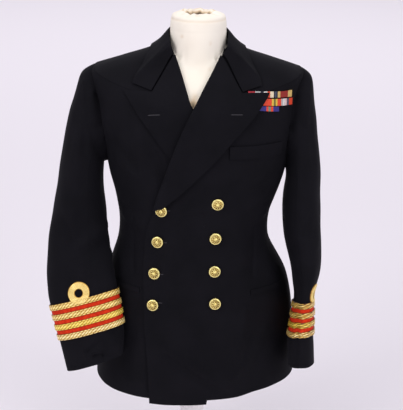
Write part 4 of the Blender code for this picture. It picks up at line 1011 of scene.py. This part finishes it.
# Form: the gathered cap on the neck is read off the form by rays from the neck's middle
HOLE_RADIUS = 0.0330
HOLE_DEPTH = 0.0240
CAP_LOW = 8.0
CAP_RINGS = 64
CAP_TURNS = 256
CAP_LIFT = 0.0004
CAP_TUCK = 0.0006
CAP_SEAM_HEIGHT = 0.9825
CAP_SEAM_DEPTH = 0.0013
GATHER_LIFT = 0.0012
UNDER_CAP_HEIGHT = 0.968
UNDER_CAP_DROP = 0.018
UNDER_CAP_SHRINK = 0.96
NECK_MIDDLE = Vector((0.0, -0.002, 0.950))
Spot = namedtuple("Spot", "across height size strength")
# Spots darkened through the form's shade: the two at the foot of the V are painted shade, the others faint
# spots
SPOTS = (
    Spot(-0.0308, 0.9530, 0.0030, 0.16),
    Spot(0.0239, 0.9415, 0.0026, 0.14),
    Spot(0.0229, 0.8925, 0.0034, 0.10),
    Spot(-0.0061, 0.8338, 0.0080, 0.75),
    Spot(-0.0040, 0.8480, 0.0060, 0.18),
)


def form():
    """The calico form, with a gathered cap on its neck."""
    body = smooth_shell("form_torso", FINE_LEVEL)
    tree = BVHTree.FromObject(body, bpy.context.evaluated_depsgraph_get())
    rows = []
    shades = []
    for lean in np.linspace(CAP_LOW, 90.0, CAP_RINGS):
        line = []
        shade_line = []
        for turn in np.linspace(0, 2 * math.pi, CAP_TURNS, endpoint=False):
            angle = math.radians(min(lean, 89.7))
            flat = math.cos(angle)
            way = Vector((flat * math.cos(turn), flat * math.sin(turn), math.sin(angle)))
            hit = tree.ray_cast(NECK_MIDDLE, way, 0.2)[0]
            radius = math.hypot(hit.x, hit.y - NECK_MIDDLE.y)
            edge = float(ease((lean - CAP_LOW) / 10.0))
            top = float(ease((hit.z - 0.972) / 0.016))
            gather = (math.sin(10 * turn + 1.6 * math.sin(3 * turn)) + 0.5 * math.sin(17 * turn + 2.0)
                      + 0.5 * math.sin(5 * turn + 0.4))
            near = float(ease((0.050 - radius) / 0.018)) * top
            seam = float(hump(hit.z, CAP_SEAM_HEIGHT, 0.0022)) * (0.5 if hit.y < 0 else 0.25)
            lift = CAP_LIFT - CAP_TUCK * (1 - edge) + GATHER_LIFT * gather * near - CAP_SEAM_DEPTH * seam
            inside = float(ease((HOLE_RADIUS + 0.0022 * math.sin(5 * turn) - radius) / 0.019))
            place = hit + way * lift - Vector((0, 0, HOLE_DEPTH * inside * (1 - 0.075 * gather)))
            line.append(place[:])
            # Painted shade: a line along the back rim, in the gathers' troughs, deeper in the hole and along
            # the seam
            trough = max(0.0, -gather) / 2
            rim = float(hump(radius, 0.034, 0.0022)) if hit.y > 0.01 else 0.0
            shade = 0.28 * rim + 0.14 * trough * near + 0.16 * inside * (1.3 - gather * 0.5)
            shade += 0.90 * float(ease((inside - 0.12) / 0.42)) + 0.20 * seam
            shade_line.append(min(1.0, shade))
        rows.append(line)
        shades.append(shade_line)
    cap = grid_mesh("neck_cap", np.array(rows), wrap_columns=True)
    put_values(cap, "shade", np.array(shades).ravel())
    fill_rings(cap, CAP_TURNS, first=False)
    points = mesh_points(body.data)
    high = points[:, 2] > UNDER_CAP_HEIGHT
    points[high, 2] -= UNDER_CAP_DROP * ease((points[high, 2] - UNDER_CAP_HEIGHT) / 0.012)
    points[high, :2] *= UNDER_CAP_SHRINK
    put_points(body.data, points)
    # Faint spots, and painted shade at the foot of the V
    spots = np.zeros(len(points))
    for spot in SPOTS:
        away = np.hypot(points[:, 0] - spot.across, points[:, 2] - spot.height)
        spots += np.where(points[:, 1] < 0, spot.strength * np.exp(-(away / spot.size) ** 2), 0.0)
    put_values(body.data, "shade", spots)
    dress(linked("neck_cap", cap), FORM, "form_cloth")
    dress(body, FORM, "form_cloth", "form_torso")


# Stand: turned round the upright through the origin
STAND_TURNS = 128
Turned = namedtuple("Turned", "radius height")
POLE = (
    Turned(0.0004, 0.3295), Turned(0.0235, 0.3295), Turned(0.0245, 0.3280), Turned(0.0248, 0.3200),
    Turned(0.0248, 0.0400), Turned(0.0248, 0.0184), Turned(0.0004, 0.0184),
)
BASE = (
    Turned(0.0004, 0.0180), Turned(0.0400, 0.0180), Turned(0.1380, 0.0168), Turned(0.1480, 0.0150),
    Turned(0.1530, 0.0115), Turned(0.1550, 0.0060), Turned(0.1545, 0.0012), Turned(0.1530, 0.0000),
    Turned(0.0004, 0.0000),
)


def turned(name, profile, node_name):
    """A smooth turned part."""
    turns = np.linspace(0, 2 * math.pi, STAND_TURNS, endpoint=False)
    rows = np.array([[(row.radius * math.cos(turn), row.radius * math.sin(turn), row.height)
                      for turn in turns] for row in profile])
    mesh = grid_mesh(name, rows, wrap_columns=True)
    faces_out(mesh, fill=True)
    dress(linked(name, mesh), STAND, "stand", node_name)


# Stage

Light = namedtuple("Light", "name place aim size power")
LIGHTS = (
    Light("key_left", (-2.2, -2.2, 2.4), (0.0, 0.0, 0.6), (1.6, 1.6), 46.0),
    Light("key_right", (2.2, -2.4, 2.0), (0.0, 0.0, 0.6), (1.6, 1.6), 38.0),
    Light("overhead", (0.0, -0.4, 3.2), (0.0, 0.0, 0.6), (2.4, 2.0), 22.0),
    Light("far_floor", (0.0, 5.6, 4.0), (0.0, 5.9, 0.0), (9.0, 7.0), 190.0),
)
FLOOR_COLOUR = (0.89, 0.845, 0.905)
FLOOR_REACH = 60.0
ROOM_COLOUR = (0.95, 0.92, 1.0, 1.0)
ROOM_STRENGTH = 0.44
CAMERA_REACH = 60.0


def floor():
    """A plain pale floor."""
    reach = FLOOR_REACH
    mesh = bpy.data.meshes.new("floor")
    mesh.from_pydata([(-reach, -reach, 0), (reach, -reach, 0), (reach, reach, 0), (-reach, reach, 0)], [],
                     [(0, 1, 2, 3)])
    mesh.materials.append(plain_material("floor_paper", FLOOR_COLOUR, 0.95, 60.0, 0.05))
    linked("floor", mesh)


def stage():
    """Floor, lights and camera."""
    floor()
    camera = bpy.data.objects.new("camera", bpy.data.cameras.new("camera"))
    bpy.context.scene.collection.objects.link(camera)
    up_angle = math.radians(CAMERA_ELEVATION)
    back = Vector((0.0, -math.cos(up_angle), math.sin(up_angle)))
    side = Vector((1.0, 0.0, 0.0))
    above = back.cross(side)
    roll = math.radians(CAMERA_ROLL)
    right = side * math.cos(roll) + above * math.sin(roll)
    up = above * math.cos(roll) - side * math.sin(roll)
    turn = Matrix((right, up, back)).transposed().to_4x4()
    camera.matrix_world = Matrix.Translation(CAMERA_TARGET + back * CAMERA_DISTANCE) @ turn
    camera.data.sensor_fit = "VERTICAL"
    camera.data.sensor_height = SENSOR_HEIGHT
    camera.data.sensor_width = SENSOR_HEIGHT * PHOTO_WIDTH / PHOTO_HEIGHT
    camera.data.lens = FOCAL_PIXELS / PHOTO_HEIGHT * SENSOR_HEIGHT
    camera.data.clip_end = CAMERA_REACH
    bpy.context.scene.camera = camera

    world = bpy.data.worlds.new("room")
    world.use_nodes = True
    background = world.node_tree.nodes["Background"]
    background.inputs["Color"].default_value = ROOM_COLOUR
    background.inputs["Strength"].default_value = ROOM_STRENGTH
    bpy.context.scene.world = world
    bpy.context.scene.view_settings.view_transform = "Standard"
    bpy.context.scene.view_settings.look = "None"
    for lamp in LIGHTS:
        light = bpy.data.objects.new(lamp.name, bpy.data.lights.new(lamp.name, "AREA"))
        bpy.context.scene.collection.objects.link(light)
        light.data.shape = "RECTANGLE"
        light.data.size, light.data.size_y = lamp.size
        light.data.energy = lamp.power
        light.location = lamp.place
        aim = Vector(lamp.aim) - light.location
        light.rotation_euler = aim.to_track_quat("-Z", "Y").to_euler()


# The wool shells by their nodes' names, filled in by main for the pieces that lie on them
SHELLS = {}


def main():
    """Build the looks."""
    stage()
    SHELLS.update(cloth_shells())
    cuffs()
    buttons()
    ribbons()
    stitches()
    form()
    turned("pole_turned", POLE, "pole")
    turned("base_turned", BASE, "base")


main()
